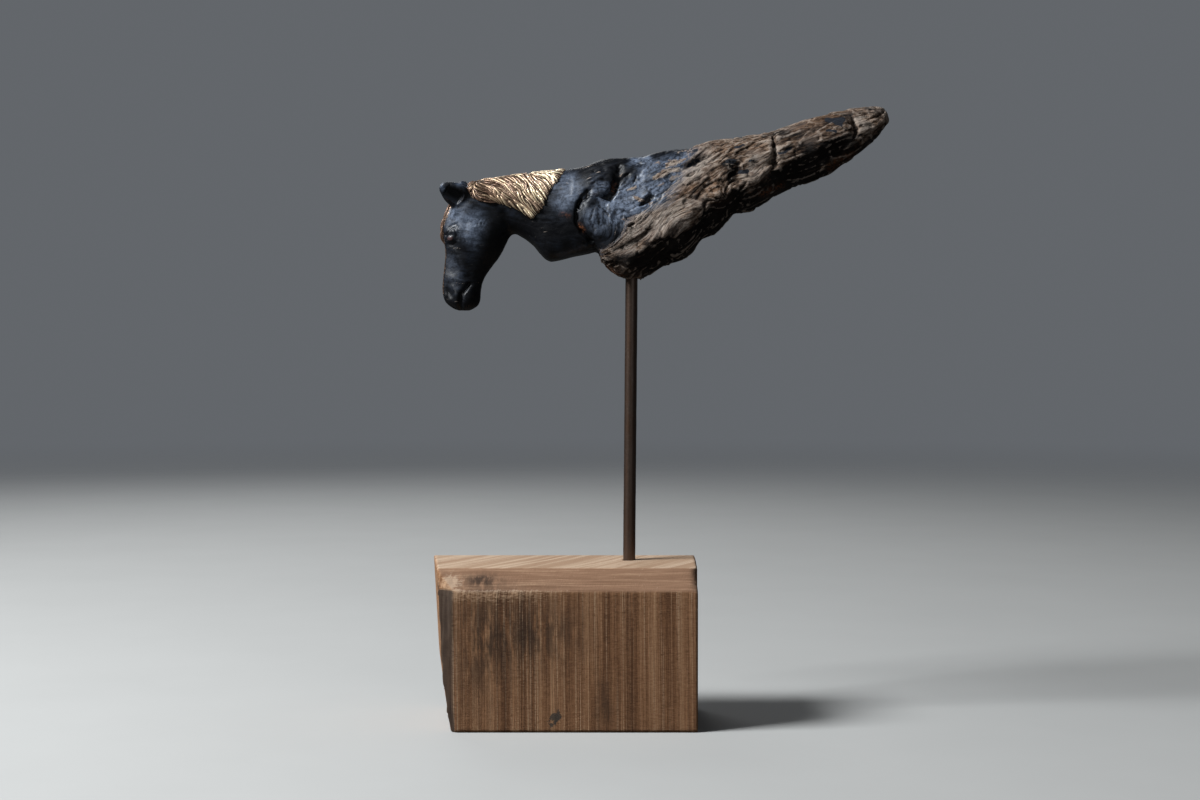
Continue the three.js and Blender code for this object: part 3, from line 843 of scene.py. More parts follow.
class Graph:
    """A node tree that is filled one node at a time."""

    def __init__(self, tree: bpy.types.NodeTree) -> None:
        """Takes an empty tree."""
        self.tree = tree

    def feed(self, socket: Socket, value: Any) -> None:
        """Links a socket to an input, or sets the input to a value.

        Args:
            socket: The input.
            value: What goes into it.
        """
        if isinstance(value, Socket):
            self.tree.links.new(value, socket)
        else:
            socket.default_value = value

    def add(self, kind: str, inputs: dict[Any, Any] | None = None, **settings: Any) -> bpy.types.Node:
        """Adds a node.

        Args:
            kind: Its type.
            inputs: What goes into its inputs, by name or number.
            settings: Its other settings.

        Returns:
            The node.
        """
        node = self.tree.nodes.new(kind)
        for setting, value in settings.items():
            setattr(node, setting, value)
        for key, value in (inputs or {}).items():
            self.feed(node.inputs[key], value)
        return node

    def math(self, operation: str, *values: Any, clamp: bool = False) -> Socket:
        """One step of arithmetic."""
        inputs = dict(enumerate(values))
        return self.add("ShaderNodeMath", inputs, operation=operation, use_clamp=clamp).outputs[0]

    def times(self, a: Any, b: Any, clamp: bool = False) -> Socket:
        """One number times another, kept from 0 to 1 where clamp is set."""
        return self.math("MULTIPLY", a, b, clamp=clamp)

    def plus(self, a: Any, b: Any, share: float = 1.0) -> Socket:
        """A number plus a share of another."""
        return self.math("ADD", a, b if share == 1.0 else self.times(b, share))

    def minus(self, a: Any, b: Any, share: float = 1.0) -> Socket:
        """A number less a share of another."""
        return self.math("SUBTRACT", a, b if share == 1.0 else self.times(b, share))

    def step(self, value: Any, low: float, high: float) -> Socket:
        """Rises smoothly from 0 to 1 between two values, of which the first may be the higher.

        Args:
            value: The value to read.
            low: The value that gives 0.
            high: The value that gives 1.

        Returns:
            A number socket.
        """
        ends = (low, high, 0.0, 1.0) if low < high else (high, low, 1.0, 0.0)
        inputs = {0: value, 1: ends[0], 2: ends[1], 3: ends[2], 4: ends[3]}
        return self.add("ShaderNodeMapRange", inputs, interpolation_type="SMOOTHSTEP").outputs[0]

    def mix_value(self, factor: Any, a: Any, b: Any) -> Socket:
        """Mixes two numbers."""
        return self.add("ShaderNodeMix", {0: factor, 2: a, 3: b}, data_type="FLOAT").outputs[0]

    def mix_colour(self, factor: Any, a: Any, b: Any, blend_type: str = "MIX") -> Socket:
        """Mixes two colours."""
        inputs = {0: factor, 6: opaque(a), 7: opaque(b)}
        return self.add("ShaderNodeMix", inputs, data_type="RGBA", blend_type=blend_type).outputs[2]

    def mix_vector(self, factor: Any, a: Any, b: Any) -> Socket:
        """Mixes two vectors."""
        return self.add("ShaderNodeMix", {0: factor, 4: a, 5: b}, data_type="VECTOR").outputs[1]

    def tint(self, colour: Any, towards: Any, mask: Any, share: float) -> Socket:
        """Moves a colour towards another by a share of a mask."""
        return self.mix_colour(self.times(mask, share), colour, towards)

    def ramp(self, value: Any, *stops: tuple[float, Colour]) -> Socket:
        """A colour that changes with a value.

        Args:
            value: The value to read.
            stops: The value and the colour at each stop, in order.

        Returns:
            A colour socket.
        """
        node = self.add("ShaderNodeValToRGB", {0: value})
        elements = node.color_ramp.elements
        while len(elements) < len(stops):
            elements.new(0.5)
        for element, (position, colour) in zip(elements, stops):
            element.position = position
            element.color = opaque(colour)
        return node.outputs[0]

    def scaled(self, vector: Any, scale: tuple[float, float, float]) -> Socket:
        """A vector with each of its numbers times one of three."""
        return self.add("ShaderNodeVectorMath", {0: vector, 1: scale}, operation="MULTIPLY").outputs[0]

    def noise(self, vector: Any, scale: float, detail: float, rough: float, warp: float = 0.0) -> Any:
        """Noise from 0 to 1, with a number of finer layers that may be rough, and distorted where warp is set."""
        inputs = {"Vector": vector, "Scale": scale, "Detail": detail, "Roughness": rough, "Distortion": warp}
        return self.add("ShaderNodeTexNoise", inputs).outputs[0]

    def attribute(self, name: str) -> Socket:
        """Three numbers kept at each point of the mesh."""
        node = self.add("ShaderNodeAttribute", attribute_name=name, attribute_type="GEOMETRY")
        return node.outputs["Vector"]

    def parts(self, vector: Any) -> tuple[Any, Any, Any]:
        """The three numbers of a vector."""
        return tuple(self.add("ShaderNodeSeparateXYZ", {0: vector}).outputs[:3])

    def millimetres(self) -> Socket:
        """The place on the piece, in millimetres."""
        place = self.add("ShaderNodeTexCoord").outputs["Object"]
        return self.scaled(place, (1 / MM, 1 / MM, 1 / MM))

    def bump(self, height: Any, strength: float, distance: float) -> Socket:
        """The normal, tilted by a share of a height, of which 1 stands out by a distance in millimetres."""
        inputs = {"Height": height, "Strength": strength, "Distance": distance * MM}
        return self.add("ShaderNodeBump", inputs).outputs[0]

    def call(self, group: bpy.types.NodeTree, inputs: dict[str, Any]) -> bpy.types.Node:
        """Places a node group.

        Args:
            group: The group.
            inputs: What goes into its inputs, by name.

        Returns:
            The group's node.
        """
        node = self.tree.nodes.new("ShaderNodeGroup")
        node.node_tree = group
        for name, value in inputs.items():
            self.feed(node.inputs[name], value)
        return node


def opaque(colour: Any) -> Any:
    """A colour with its fourth number, or a socket as it is."""
    return (*colour, 1.0) if isinstance(colour, tuple) and len(colour) == 3 else colour


def new_group(
    name: str, kind: str, inputs: dict[str, str], outputs: dict[str, str]
) -> tuple[Graph, bpy.types.Node, bpy.types.Node]:
    """Starts a node group with named sockets.

    Args:
        name: The group's name.
        kind: The type of its tree.
        inputs: The socket type of each input.
        outputs: The socket type of each output.

    Returns:
        The graph to fill, the node of the inputs and the node of the outputs.
    """
    tree = bpy.data.node_groups.new(name, kind)
    for sockets, way in ((inputs, "INPUT"), (outputs, "OUTPUT")):
        for socket, socket_type in sockets.items():
            tree.interface.new_socket(socket, in_out=way, socket_type=socket_type)
    graph = Graph(tree)
    return graph, graph.add("NodeGroupInput"), graph.add("NodeGroupOutput")


def new_material(name: str, **surface: Any) -> tuple[bpy.types.Material, Graph, bpy.types.Node]:
    """Starts a material.

    Args:
        name: Its name.
        surface: Values that are the same all over, by the shader's socket with _ for a space.

    Returns:
        The material, its graph and its shader.
    """
    material = bpy.data.materials.new(name)
    material.use_nodes = True
    graph = Graph(material.node_tree)
    shader = material.node_tree.nodes["Principled BSDF"]
    for socket, value in surface.items():
        shader.inputs[socket.replace("_", " ")].default_value = value
    return material, graph, shader


class Effects:
    """Shader groups that more than one finish uses."""

    def __init__(self) -> None:
        """Builds each group once."""
        self.grain = self.make_grain()
        self.wear = self.make_wear()

    def make_grain(self) -> bpy.types.NodeTree:
        """Wood fibres along the vector's first axis: broad bands, fine streaks and thin checks.

        Returns:
            The group.
        """
        graph, given, made = new_group(
            "Wood fibres",
            "ShaderNodeTree",
            {"Grain": "NodeSocketVector", "Length": "NodeSocketFloat", "Width": "NodeSocketFloat"},
            {"Bands": "NodeSocketFloat", "Streaks": "NodeSocketFloat", "Checks": "NodeSocketFloat"},
        )
        along, across, deep = graph.parts(given.outputs["Grain"])
        length, width = given.outputs["Length"], given.outputs["Width"]
        joined = graph.add(
            "ShaderNodeCombineXYZ",
            {
                0: graph.math("DIVIDE", along, length),
                1: graph.math("DIVIDE", across, width),
                2: graph.math("DIVIDE", deep, width),
            },
        ).outputs[0]
        bands = graph.noise(joined, scale=0.3, detail=3, rough=0.6, warp=0.4)
        streaks = graph.noise(joined, scale=1.0, detail=5, rough=0.68, warp=0.3)
        longer = graph.scaled(joined, (0.5, 0.55, 0.55))
        checks = graph.noise(longer, scale=1.0, detail=3, rough=0.6, warp=0.2)
        line = graph.math("ABSOLUTE", graph.minus(checks, 0.5))
        graph.feed(made.inputs["Bands"], bands)
        graph.feed(made.inputs["Streaks"], streaks)
        graph.feed(made.inputs["Checks"], graph.step(line, 0.03, 0.0))
        return graph.tree

    def make_wear(self) -> bpy.types.NodeTree:
        """Darkening in hollows, for dirt and painted shade, and rubbing that shows on what stands proud, both
        broken up.

        Returns:
            The group.
        """
        graph, given, made = new_group(
            "Darkened hollows and rubbing",
            "ShaderNodeTree",
            {
                "Place": "NodeSocketVector", "Hollow": "NodeSocketFloat", "Proud": "NodeSocketFloat",
                "Patch size": "NodeSocketFloat", "Uneven": "NodeSocketFloat",
            },
            {"Darkened hollows": "NodeSocketFloat", "Rubbed": "NodeSocketFloat"},
        )
        scale = graph.math("DIVIDE", 1.0, given.outputs["Patch size"])
        patches = graph.minus(graph.noise(given.outputs["Place"], scale, detail=4, rough=0.62), 0.5)
        shift = graph.times(patches, given.outputs["Uneven"])
        # Darkening in hollows, for dirt and painted shade.
        dirt = graph.step(graph.plus(given.outputs["Hollow"], shift), 0.12, 0.8)
        rubbed = graph.step(graph.minus(given.outputs["Proud"], shift), 0.35, 0.95)
        graph.feed(made.inputs["Darkened hollows"], dirt)
        graph.feed(made.inputs["Rubbed"], rubbed)
        return graph.tree


# Finishes


@dataclass(frozen=True)
class BareWood:
    """Grey-brown driftwood."""

    dark: Colour = (0.008, 0.0055, 0.0045)
    brown: Colour = (0.082, 0.047, 0.030)
    tan: Colour = (0.290, 0.192, 0.132)
    bleached: Colour = (0.580, 0.475, 0.395)
    warm: Colour = (0.290, 0.140, 0.062)
    grey: Colour = (0.250, 0.230, 0.220)
    rust: Colour = (0.330, 0.105, 0.028)
    fibre_length: float = 9.0
    fibre_width: float = 1.0
    streak_weight: float = 2.7
    band_weight: float = 1.5
    pale_weight: float = 0.34
    shade_weight: float = 0.75
    darkening: float = 1.58

    def colour(self, graph: Graph, fibre: bpy.types.Node, place: Any, zones: tuple[Any, Any, Any]) -> Any:
        """The wood's colour.

        Args:
            graph: The material's graph.
            fibre: The fibre group's node.
            place: The place on the piece, in millimetres.
            zones: Where the wood is bleached, where shade is painted on it and where it is warm.

        Returns:
            A colour socket.
        """
        pale, shade, warm = zones
        bands = fibre.outputs["Bands"]
        tone = graph.times(fibre.outputs["Streaks"], self.streak_weight)
        tone = graph.minus(graph.plus(tone, bands, self.band_weight), self.darkening)
        # Painted shade lowers the tone of the wood.
        tone = graph.minus(graph.plus(tone, pale, self.pale_weight), shade, self.shade_weight)
        stops = ((0.02, self.dark), (0.26, self.brown), (0.56, self.tan), (0.92, self.bleached))
        colour = graph.ramp(tone, *stops)
        greyed = graph.plus(graph.noise(place, scale=0.06, detail=3, rough=0.6), pale, 0.1)
        colour = graph.tint(colour, self.grey, graph.step(greyed, 0.45, 0.66), share=0.35)
        colour = graph.tint(colour, self.warm, graph.times(warm, graph.step(bands, 0.3, 0.62)), share=0.7)
        colour = graph.tint(colour, self.dark, fibre.outputs["Checks"], share=0.6)
        # Painted shade: the wood is darkened towards its dark colour where shade is painted.
        return graph.mix_colour(graph.times(shade, 0.72, clamp=True), colour, self.dark)


@dataclass(frozen=True)
class Paint:
    """Blue-black paint, brushed on thinly and rubbed, with a slate tint and the colour of its painted highlights.
    """

    black: Colour = (0.0018, 0.0021, 0.0034)
    # Slate colour of the brush strokes, also used where highlights are painted.
    slate_and_sheen: Colour = (0.028, 0.041, 0.068)
    # Colour of the painted highlights on the paint.
    painted_glint: Colour = (0.170, 0.210, 0.290)
    wash: Colour = (0.190, 0.190, 0.220)
    under: Colour = (0.034, 0.020, 0.014)


@dataclass(frozen=True)
class Gilding:
    """Champagne gold over brown."""

    gold: Colour = (0.90, 0.74, 0.50)
    worn: Colour = (0.50, 0.335, 0.235)
    ground: Colour = (0.060, 0.038, 0.026)


class CarvedSignals:
    """What the carving's material reads at each place, and the patterns that its finishes share."""

    def __init__(self, graph: Graph, effects: Effects, wood: BareWood) -> None:
        """Adds the nodes for them.

        Args:
            graph: The material's graph.
            effects: The shared shader groups.
            wood: The bare wood, which gives the size of the fibres.
        """
        self.place = graph.millimetres()
        self.grain = graph.attribute("grain")
        self.painted, self.gilt, self.eye = graph.parts(graph.attribute("coat"))
        self.hollow, proud, rust = graph.parts(graph.attribute("weather"))
        self.pale, self.shade, self.warm = graph.parts(graph.attribute("tone"))
        self.flake, self.painted_glint, _ = graph.parts(graph.attribute("slate_and_sheen"))
        self.fibre = graph.call(
            effects.grain, {"Grain": self.grain, "Length": wood.fibre_length, "Width": wood.fibre_width},
        )
        self.streaks, self.bands = self.fibre.outputs["Streaks"], self.fibre.outputs["Bands"]
        wear = graph.call(
            effects.wear,
            {"Place": self.place, "Hollow": self.hollow, "Proud": proud, "Patch size": 2.6, "Uneven": 0.9},
        )
        self.dirt, self.rubbed = wear.outputs["Darkened hollows"], wear.outputs["Rubbed"]
        # Where no shade is painted: the slate tint, the painted highlights and the coat's gloss are kept to it.
        self.lit = graph.minus(1.0, self.shade)
        self.speckle = graph.noise(self.place, scale=0.9, detail=4, rough=0.7)
        self.rusty = graph.times(rust, graph.step(self.speckle, 0.42, 0.6))
        drawn_out = graph.scaled(self.grain, (0.12, 0.5, 0.5))
        self.brushed = graph.noise(drawn_out, scale=1.3, detail=5, rough=0.62, warp=0.3)
        self.cloudy = graph.noise(self.place, scale=0.07, detail=3, rough=0.55)


@dataclass(frozen=True)
class CarvedFinish:
    """The carving: paint on the horse, gilding on its hair, bare wood behind."""

    effects: Effects
    wood: BareWood = BareWood()
    paint: Paint = Paint()
    gilding: Gilding = Gilding()
    eye: Colour = (0.066, 0.038, 0.038)
    flake: Colour = (0.022, 0.026, 0.036)
    crisp_from: Pair = (0.0, 12.0)
    wood_roughness: float = 0.9
    paint_roughness: Pair = (0.34, 0.55)
    flake_roughness: float = 0.5
    gilt_roughness: float = 0.36
    eye_roughness: float = 0.14
    gilt_metal: float = 0.7
    gloss: float = 0.14
    gloss_of_glints: float = 0.6

    def wood_colour(self, graph: Graph, at: CarvedSignals) -> Socket:
        """Bare wood, rubbed pale where it stands proud, darkened in its hollows by dirt and painted shade, and
        washed with thin paint.

        Args:
            graph: The material's graph.
            at: What it reads at each place.

        Returns:
            A colour socket.
        """
        wood = self.wood.colour(graph, at.fibre, at.place, (at.pale, at.shade, at.warm))
        wood = graph.tint(wood, self.wood.bleached, at.rubbed, share=0.5)
        # Dirt and painted shade darken the hollows.
        wood = graph.tint(wood, self.wood.dark, at.dirt, share=0.72)
        speckled = graph.ramp(at.speckle, (0.3, (0.3,) * 3), (0.7, (1.0,) * 3))
        wood = graph.mix_colour(0.3, wood, speckled, "MULTIPLY")
        wood = graph.mix_colour(at.rusty, wood, self.wood.rust)
        washed = graph.times(graph.step(at.painted, 0.0, 0.35), graph.step(at.streaks, 0.66, 0.42))
        return graph.tint(wood, self.paint.wash, washed, share=0.8)

    def paint_colour(self, graph: Graph, at: CarvedSignals) -> Socket:
        """Paint with slate strokes and painted highlights, which are crisper behind the shoulder, rubbed, and
        darkened in its hollows with dirt and painted shade.

        Args:
            graph: The material's graph.
            at: What it reads at each place.

        Returns:
            A colour socket.
        """
        strokes = graph.times(graph.step(at.brushed, 0.40, 0.66), graph.step(at.cloudy, 0.36, 0.66))
        # The slate tint comes from the brush strokes and from the painted highlights, and is kept out of the
        # painted shade.
        slate_and_sheen = graph.times(graph.plus(graph.times(strokes, 0.35), at.painted_glint, 0.6), at.lit, clamp=True)
        paint = graph.mix_colour(slate_and_sheen, self.paint.black, self.paint.slate_and_sheen)
        mottled = graph.mix_value(0.5, at.brushed, at.speckle)
        from_seat, _, _ = graph.parts(at.place)
        soft, crisp = graph.step(mottled, 0.34, 0.68), graph.step(mottled, 0.42, 0.57)
        bright = graph.mix_value(graph.step(from_seat, *self.crisp_from), soft, crisp)
        # Painted highlight: the paint is lightened towards a pale blue where the glint marks lie.
        paint = graph.tint(paint, self.paint.painted_glint, graph.times(at.painted_glint, bright), share=0.85)
        worn = graph.times(at.rubbed, graph.step(at.cloudy, 0.5, 0.7))
        paint = graph.tint(paint, self.paint.under, worn, share=0.5)
        # Dirt and painted shade darken the paint in its hollows.
        paint = graph.tint(paint, self.paint.black, at.dirt, share=0.85)
        return graph.mix_colour(at.rusty, paint, self.wood.rust)

    def normal(self, graph: Graph, at: CarvedSignals, coat: Any) -> Socket:
        """Raised fibres on the bare wood, and brush strokes on the paint.

        Args:
            graph: The material's graph.
            at: What it reads at each place.
            coat: Where there is paint.

        Returns:
            A normal socket.
        """
        fine = graph.noise(graph.scaled(at.grain, (0.1, 1.1, 1.1)), scale=1.0, detail=6, rough=0.74)
        fuzz = graph.noise(at.place, scale=1.8, detail=3, rough=0.6)
        raised = graph.minus(graph.plus(fine, fuzz, 0.3), at.fibre.outputs["Checks"], 0.25)
        fibres_up = graph.bump(raised, strength=1.0, distance=1.5)
        strokes = graph.bump(graph.mix_value(0.4, at.brushed, fuzz), strength=0.5, distance=0.4)
        return graph.mix_vector(coat, fibres_up, strokes)

    def material(self) -> bpy.types.Material:
        """Builds the material.

        Returns:
            The material.
        """
        material, graph, shader = new_material(
            "carved_driftwood_finish", Specular_IOR_Level=0.22, Coat_Roughness=0.4, Coat_IOR=1.5,
        )
        at = CarvedSignals(graph, self.effects, self.wood)
        uneven = graph.times(graph.minus(at.streaks, 0.5), 2.2)
        uneven = graph.plus(uneven, graph.minus(at.bands, 0.5), 1.2)
        ragged = graph.minus(graph.times(at.hollow, 0.25), uneven)
        coat = graph.step(graph.plus(at.painted, ragged), 0.40, 0.60)
        colour = graph.mix_colour(coat, self.wood_colour(graph, at), self.paint_colour(graph, at))
        flaked = graph.step(graph.plus(at.flake, ragged, 0.45), 0.42, 0.5)
        colour = graph.mix_colour(flaked, colour, self.flake)
        leaf = graph.noise(at.place, scale=1.1, detail=4, rough=0.66)
        golden = graph.mix_colour(graph.step(leaf, 0.45, 0.75), self.gilding.ground, self.gilding.worn)
        golden = graph.mix_colour(graph.step(at.hollow, 0.2, 0.6), golden, self.gilding.ground)
        gilded = graph.step(graph.plus(at.gilt, graph.minus(leaf, 0.5)), 0.35, 0.6)
        colour = graph.mix_colour(gilded, colour, golden)
        graph.feed(shader.inputs["Base Color"], graph.mix_colour(at.eye, colour, self.eye))

        metal = graph.times(gilded, graph.step(at.hollow, 0.8, 0.2))
        graph.feed(shader.inputs["Metallic"], graph.times(metal, self.gilt_metal))
        satin = graph.mix_value(graph.step(at.brushed, 0.3, 0.7), *self.paint_roughness)
        rough = graph.mix_value(coat, self.wood_roughness, satin)
        rough = graph.mix_value(flaked, rough, self.flake_roughness)
        rough = graph.mix_value(gilded, rough, self.gilt_roughness)
        graph.feed(shader.inputs["Roughness"], graph.mix_value(at.eye, rough, self.eye_roughness))
        gloss = graph.plus(self.gloss, at.painted_glint, self.gloss_of_glints)
        graph.feed(shader.inputs["Coat Weight"], graph.times(graph.times(coat, at.lit, clamp=True), gloss))
        graph.feed(shader.inputs["Normal"], self.normal(graph, at, coat))
        return material


@dataclass(frozen=True)
class HairFinish:
    """The gilded locks: gold on the strands, brown between them, dull by the ears, with a painted highlight at
    the back.
    """

    gilding: Gilding = Gilding()
    dulling: Colour = (0.34, 0.265, 0.24)
    # Colour of the painted highlight on the strands at the back.
    highlight_gold: Colour = (1.0, 0.87, 0.62)
    dull_to: Pair = (-22.0, -42.0)
    highlight_from: Pair = (-24.0, -12.0)
    dull_share: float = 0.82
    highlight_shares: Pair = (0.25, 0.8)
    metal: Pair = (0.5, 0.1)
    roughness: Pair = (0.24, 0.5)

    def material(self) -> bpy.types.Material:
        """Builds the material.

        Returns:
            The material.
        """
        material, graph, shader = new_material("gilded_hair", Specular_IOR_Level=0.5)
        place = graph.millimetres()
        from_seat, _, _ = graph.parts(place)
        bright, along, _ = graph.parts(graph.attribute("strand"))
        patchy = graph.noise(place, scale=0.35, detail=4, rough=0.62)
        rubbing = graph.noise(place, scale=1.7, detail=3, rough=0.6)
        tone = graph.plus(graph.times(bright, 0.6), patchy, 0.6)
        gold = graph.mix_colour(graph.step(tone, 0.42, 0.85), self.gilding.worn, self.gilding.gold)
        rubbed = graph.times(graph.step(graph.plus(rubbing, bright, 0.25), 0.62, 0.42), 0.75)
        bare = graph.math("MAXIMUM", rubbed, graph.times(graph.step(along, 0.16, 0.0), 0.8))
        colour = graph.mix_colour(bare, gold, self.gilding.ground)
        dulled = graph.mix_colour(1.0, colour, self.dulling, "MULTIPLY")
        colour = graph.tint(colour, dulled, graph.step(from_seat, *self.dull_to), share=self.dull_share)
        # Painted highlight: strands towards the back are lightened to a pale gold.
        lit = graph.times(graph.step(from_seat, *self.highlight_from), graph.minus(1.0, bare))
        lit = graph.times(lit, graph.mix_value(graph.step(bright, 0.25, 0.8), *self.highlight_shares))
        graph.feed(shader.inputs["Base Color"], graph.mix_colour(lit, colour, self.highlight_gold))
        graph.feed(shader.inputs["Metallic"], graph.mix_value(bare, *self.metal))
        graph.feed(shader.inputs["Roughness"], graph.mix_value(rubbing, *self.roughness))
        graph.feed(shader.inputs["Normal"], graph.bump(rubbing, strength=0.4, distance=0.25))
        return material


class TimberSignals:
    """What the block's material reads at each place, and the patterns that its faces share."""

    def __init__(self, graph: Graph) -> None:
        """Adds the nodes for them.

        Args:
            graph: The material's graph.
        """
        self.place = graph.millimetres()
        rings = graph.attribute("ring")
        self.bevel, self.top, self.wane = graph.parts(graph.attribute("face"))
        self.hollow, stained, self.teal = graph.parts(graph.attribute("dirt"))
        fuzzy, _, _ = graph.parts(graph.attribute("torn"))
        self.fine = graph.noise(graph.scaled(rings, (1.5, 0.02, 0.012)), scale=1.0, detail=6, rough=0.85)
        self.groups = graph.noise(graph.scaled(rings, (0.26, 0.006, 0.004)), scale=1.0, detail=2, rough=0.5)
        late = graph.noise(graph.scaled(rings, (0.6, 0.01, 0.002)), scale=1.0, detail=2, rough=0.6)
        self.thread = graph.math("ABSOLUTE", graph.minus(late, 0.5))
        self.threads = graph.step(self.thread, 0.022, 0.003)
        level = graph.scaled(self.place, (0.45, 0.45, 2.0))
        self.chatter = graph.noise(level, scale=1.0, detail=4, rough=0.75)
        self.speck = graph.noise(self.place, scale=1.2, detail=4, rough=0.7)
        self.saw = graph.noise(graph.scaled(self.place, (0.03, 1.1, 1.1)), scale=1.0, detail=5, rough=0.75)
        patches = graph.noise(graph.scaled(self.place, (1.8, 1, 0.35)), scale=0.2, detail=5, rough=0.7)
        self.stained = graph.times(stained, graph.step(patches, 0.32, 0.58))
        ragged = graph.plus(graph.minus(self.fine, 0.5), graph.minus(self.chatter, 0.5))
        self.torn = graph.step(graph.plus(fuzzy, ragged, 2.2), 0.35, 0.75)


@dataclass(frozen=True)
class TimberFinish:
    """Old sawn timber: end grain on top, weathered sides."""

    effects: Effects
    deep: Colour = (0.120, 0.052, 0.023)
    brown: Colour = (0.275, 0.132, 0.062)
    light: Colour = (0.440, 0.243, 0.128)
    line: Colour = (0.640, 0.430, 0.270)
    sawn: Colour = (0.600, 0.450, 0.325)
    sawn_late: Colour = (0.380, 0.245, 0.155)
    bevel: Colour = (0.300, 0.172, 0.105)
    bevel_late: Colour = (0.200, 0.105, 0.060)
    stain: Colour = (0.030, 0.019, 0.014)
    grey: Colour = (0.052, 0.040, 0.032)
    teal: Colour = (0.030, 0.042, 0.043)
    roughness: Pair = (0.75, 0.95)

    def side_colour(self, graph: Graph, at: TimberSignals) -> Socket:
        """The upright faces: rings cut lengthways, stains, torn fibres and teal spots.

        Args:
            graph: The material's graph.
            at: What it reads at each place.

        Returns:
            A colour socket.
        """
        tone = graph.minus(graph.plus(graph.times(at.fine, 1.9), at.groups, 1.5), 1.2)
        tone = graph.plus(tone, graph.minus(at.chatter, 0.5), 1.1)
        side = graph.ramp(tone, (0.1, self.deep), (0.5, self.brown), (0.95, self.light))
        broken = graph.times(at.threads, graph.step(at.chatter, 0.3, 0.55))
        side = graph.tint(side, self.line, broken, share=0.75)
        side = graph.tint(side, self.stain, at.stained, share=0.84)
        side = graph.tint(side, self.line, at.torn, share=0.42)
        spotted = graph.step(graph.plus(at.teal, graph.minus(at.speck, 0.5)), 0.4, 0.6)
        return graph.tint(side, self.teal, spotted, share=0.8)

    def top_colour(self, graph: Graph, at: TimberSignals) -> Socket:
        """The sawn end grain.

        Args:
            graph: The material's graph.
            at: What it reads at each place.

        Returns:
            A colour socket.
        """
        cut = graph.mix_colour(graph.step(at.groups, 0.38, 0.6), self.sawn_late, self.sawn)
        between = graph.minus(1.0, graph.step(graph.mix_value(0.5, at.fine, at.thread), 0.2, 0.42))
        cut = graph.tint(cut, self.sawn_late, between, share=0.6)
        cut = graph.tint(cut, self.bevel, at.threads, share=0.75)
        return graph.tint(cut, self.line, graph.step(at.speck, 0.6, 0.72), share=0.5)

    def bevel_colour(self, graph: Graph, at: TimberSignals) -> Socket:
        """The sawn bevel, with the saw's marks along it.

        Args:
            graph: The material's graph.
            at: What it reads at each place.

        Returns:
            A colour socket.
        """
        slope = graph.ramp(at.saw, (0.32, self.bevel_late), (0.55, self.bevel), (0.8, self.line))
        slope = graph.tint(slope, self.bevel_late, graph.step(at.fine, 0.5, 0.3), share=0.35)
        slope = graph.tint(slope, self.stain, at.stained, share=0.85)
        return graph.tint(slope, self.sawn, at.torn, share=0.5)

    def material(self) -> bpy.types.Material:
        """Builds the material.

        Returns:
            The material.
        """
        material, graph, shader = new_material("timber_block_finish", Specular_IOR_Level=0.25)
        at = TimberSignals(graph)
        colour = graph.mix_colour(at.top, self.side_colour(graph, at), self.top_colour(graph, at))
        colour = graph.mix_colour(at.bevel, colour, self.bevel_colour(graph, at))
        wear = graph.call(
            self.effects.wear,
            {"Place": at.place, "Hollow": at.hollow, "Proud": 0.0, "Patch size": 3.5, "Uneven": 0.8},
        )
        weathered = graph.mix_colour(graph.step(at.fine, 0.38, 0.62), self.stain, self.grey)
        colour = graph.tint(colour, weathered, at.wane, share=0.9)
        # Dirt and painted shade darken the hollows and the bore.
        colour = graph.tint(colour, self.stain, wear.outputs["Darkened hollows"], share=0.8)
        graph.feed(shader.inputs["Base Color"], colour)
        graph.feed(shader.inputs["Roughness"], graph.mix_value(at.fine, *self.roughness))
        grooves = graph.bump(graph.plus(at.fine, at.chatter, 0.35), strength=0.9, distance=0.7)
        saw_marks = graph.bump(graph.plus(at.speck, at.saw, 0.8), strength=0.7, distance=0.4)
        sawn = graph.math("MAXIMUM", at.top, at.bevel)
        graph.feed(shader.inputs["Normal"], graph.mix_vector(sawn, grooves, saw_marks))
        return material


@dataclass(frozen=True)
class SteelFinish:
    """Dark brown steel with a thin patina."""

    steel: Colour = (0.115, 0.078, 0.060)
    rust: Colour = (0.100, 0.058, 0.038)
    rubbed: Colour = (0.240, 0.185, 0.150)
    metal: Pair = (0.92, 0.8)
    roughness: Pair = (0.34, 0.52)

    def material(self) -> bpy.types.Material:
        """Builds the material.

        Returns:
            The material.
        """
        material, graph, shader = new_material(
            "steel_rod_finish", Specular_IOR_Level=0.5, Coat_Weight=0.35, Coat_Roughness=0.3,
        )
        place = graph.millimetres()
        streaks = graph.noise(graph.scaled(place, (1, 1, 0.12)), scale=0.7, detail=4, rough=0.6)
        spots = graph.noise(place, scale=0.8, detail=5, rough=0.7)
        colour = graph.mix_colour(graph.step(streaks, 0.35, 0.7), self.steel, self.rust)
        colour = graph.tint(colour, self.rubbed, graph.step(spots, 0.6, 0.75), share=0.6)
        graph.feed(shader.inputs["Base Color"], colour)
        graph.feed(shader.inputs["Metallic"], graph.mix_value(graph.step(spots, 0.4, 0.7), *self.metal))
        graph.feed(shader.inputs["Roughness"], graph.mix_value(streaks, *self.roughness))
        graph.feed(shader.inputs["Normal"], graph.bump(spots, strength=0.35, distance=0.12))
        return material


# The carving


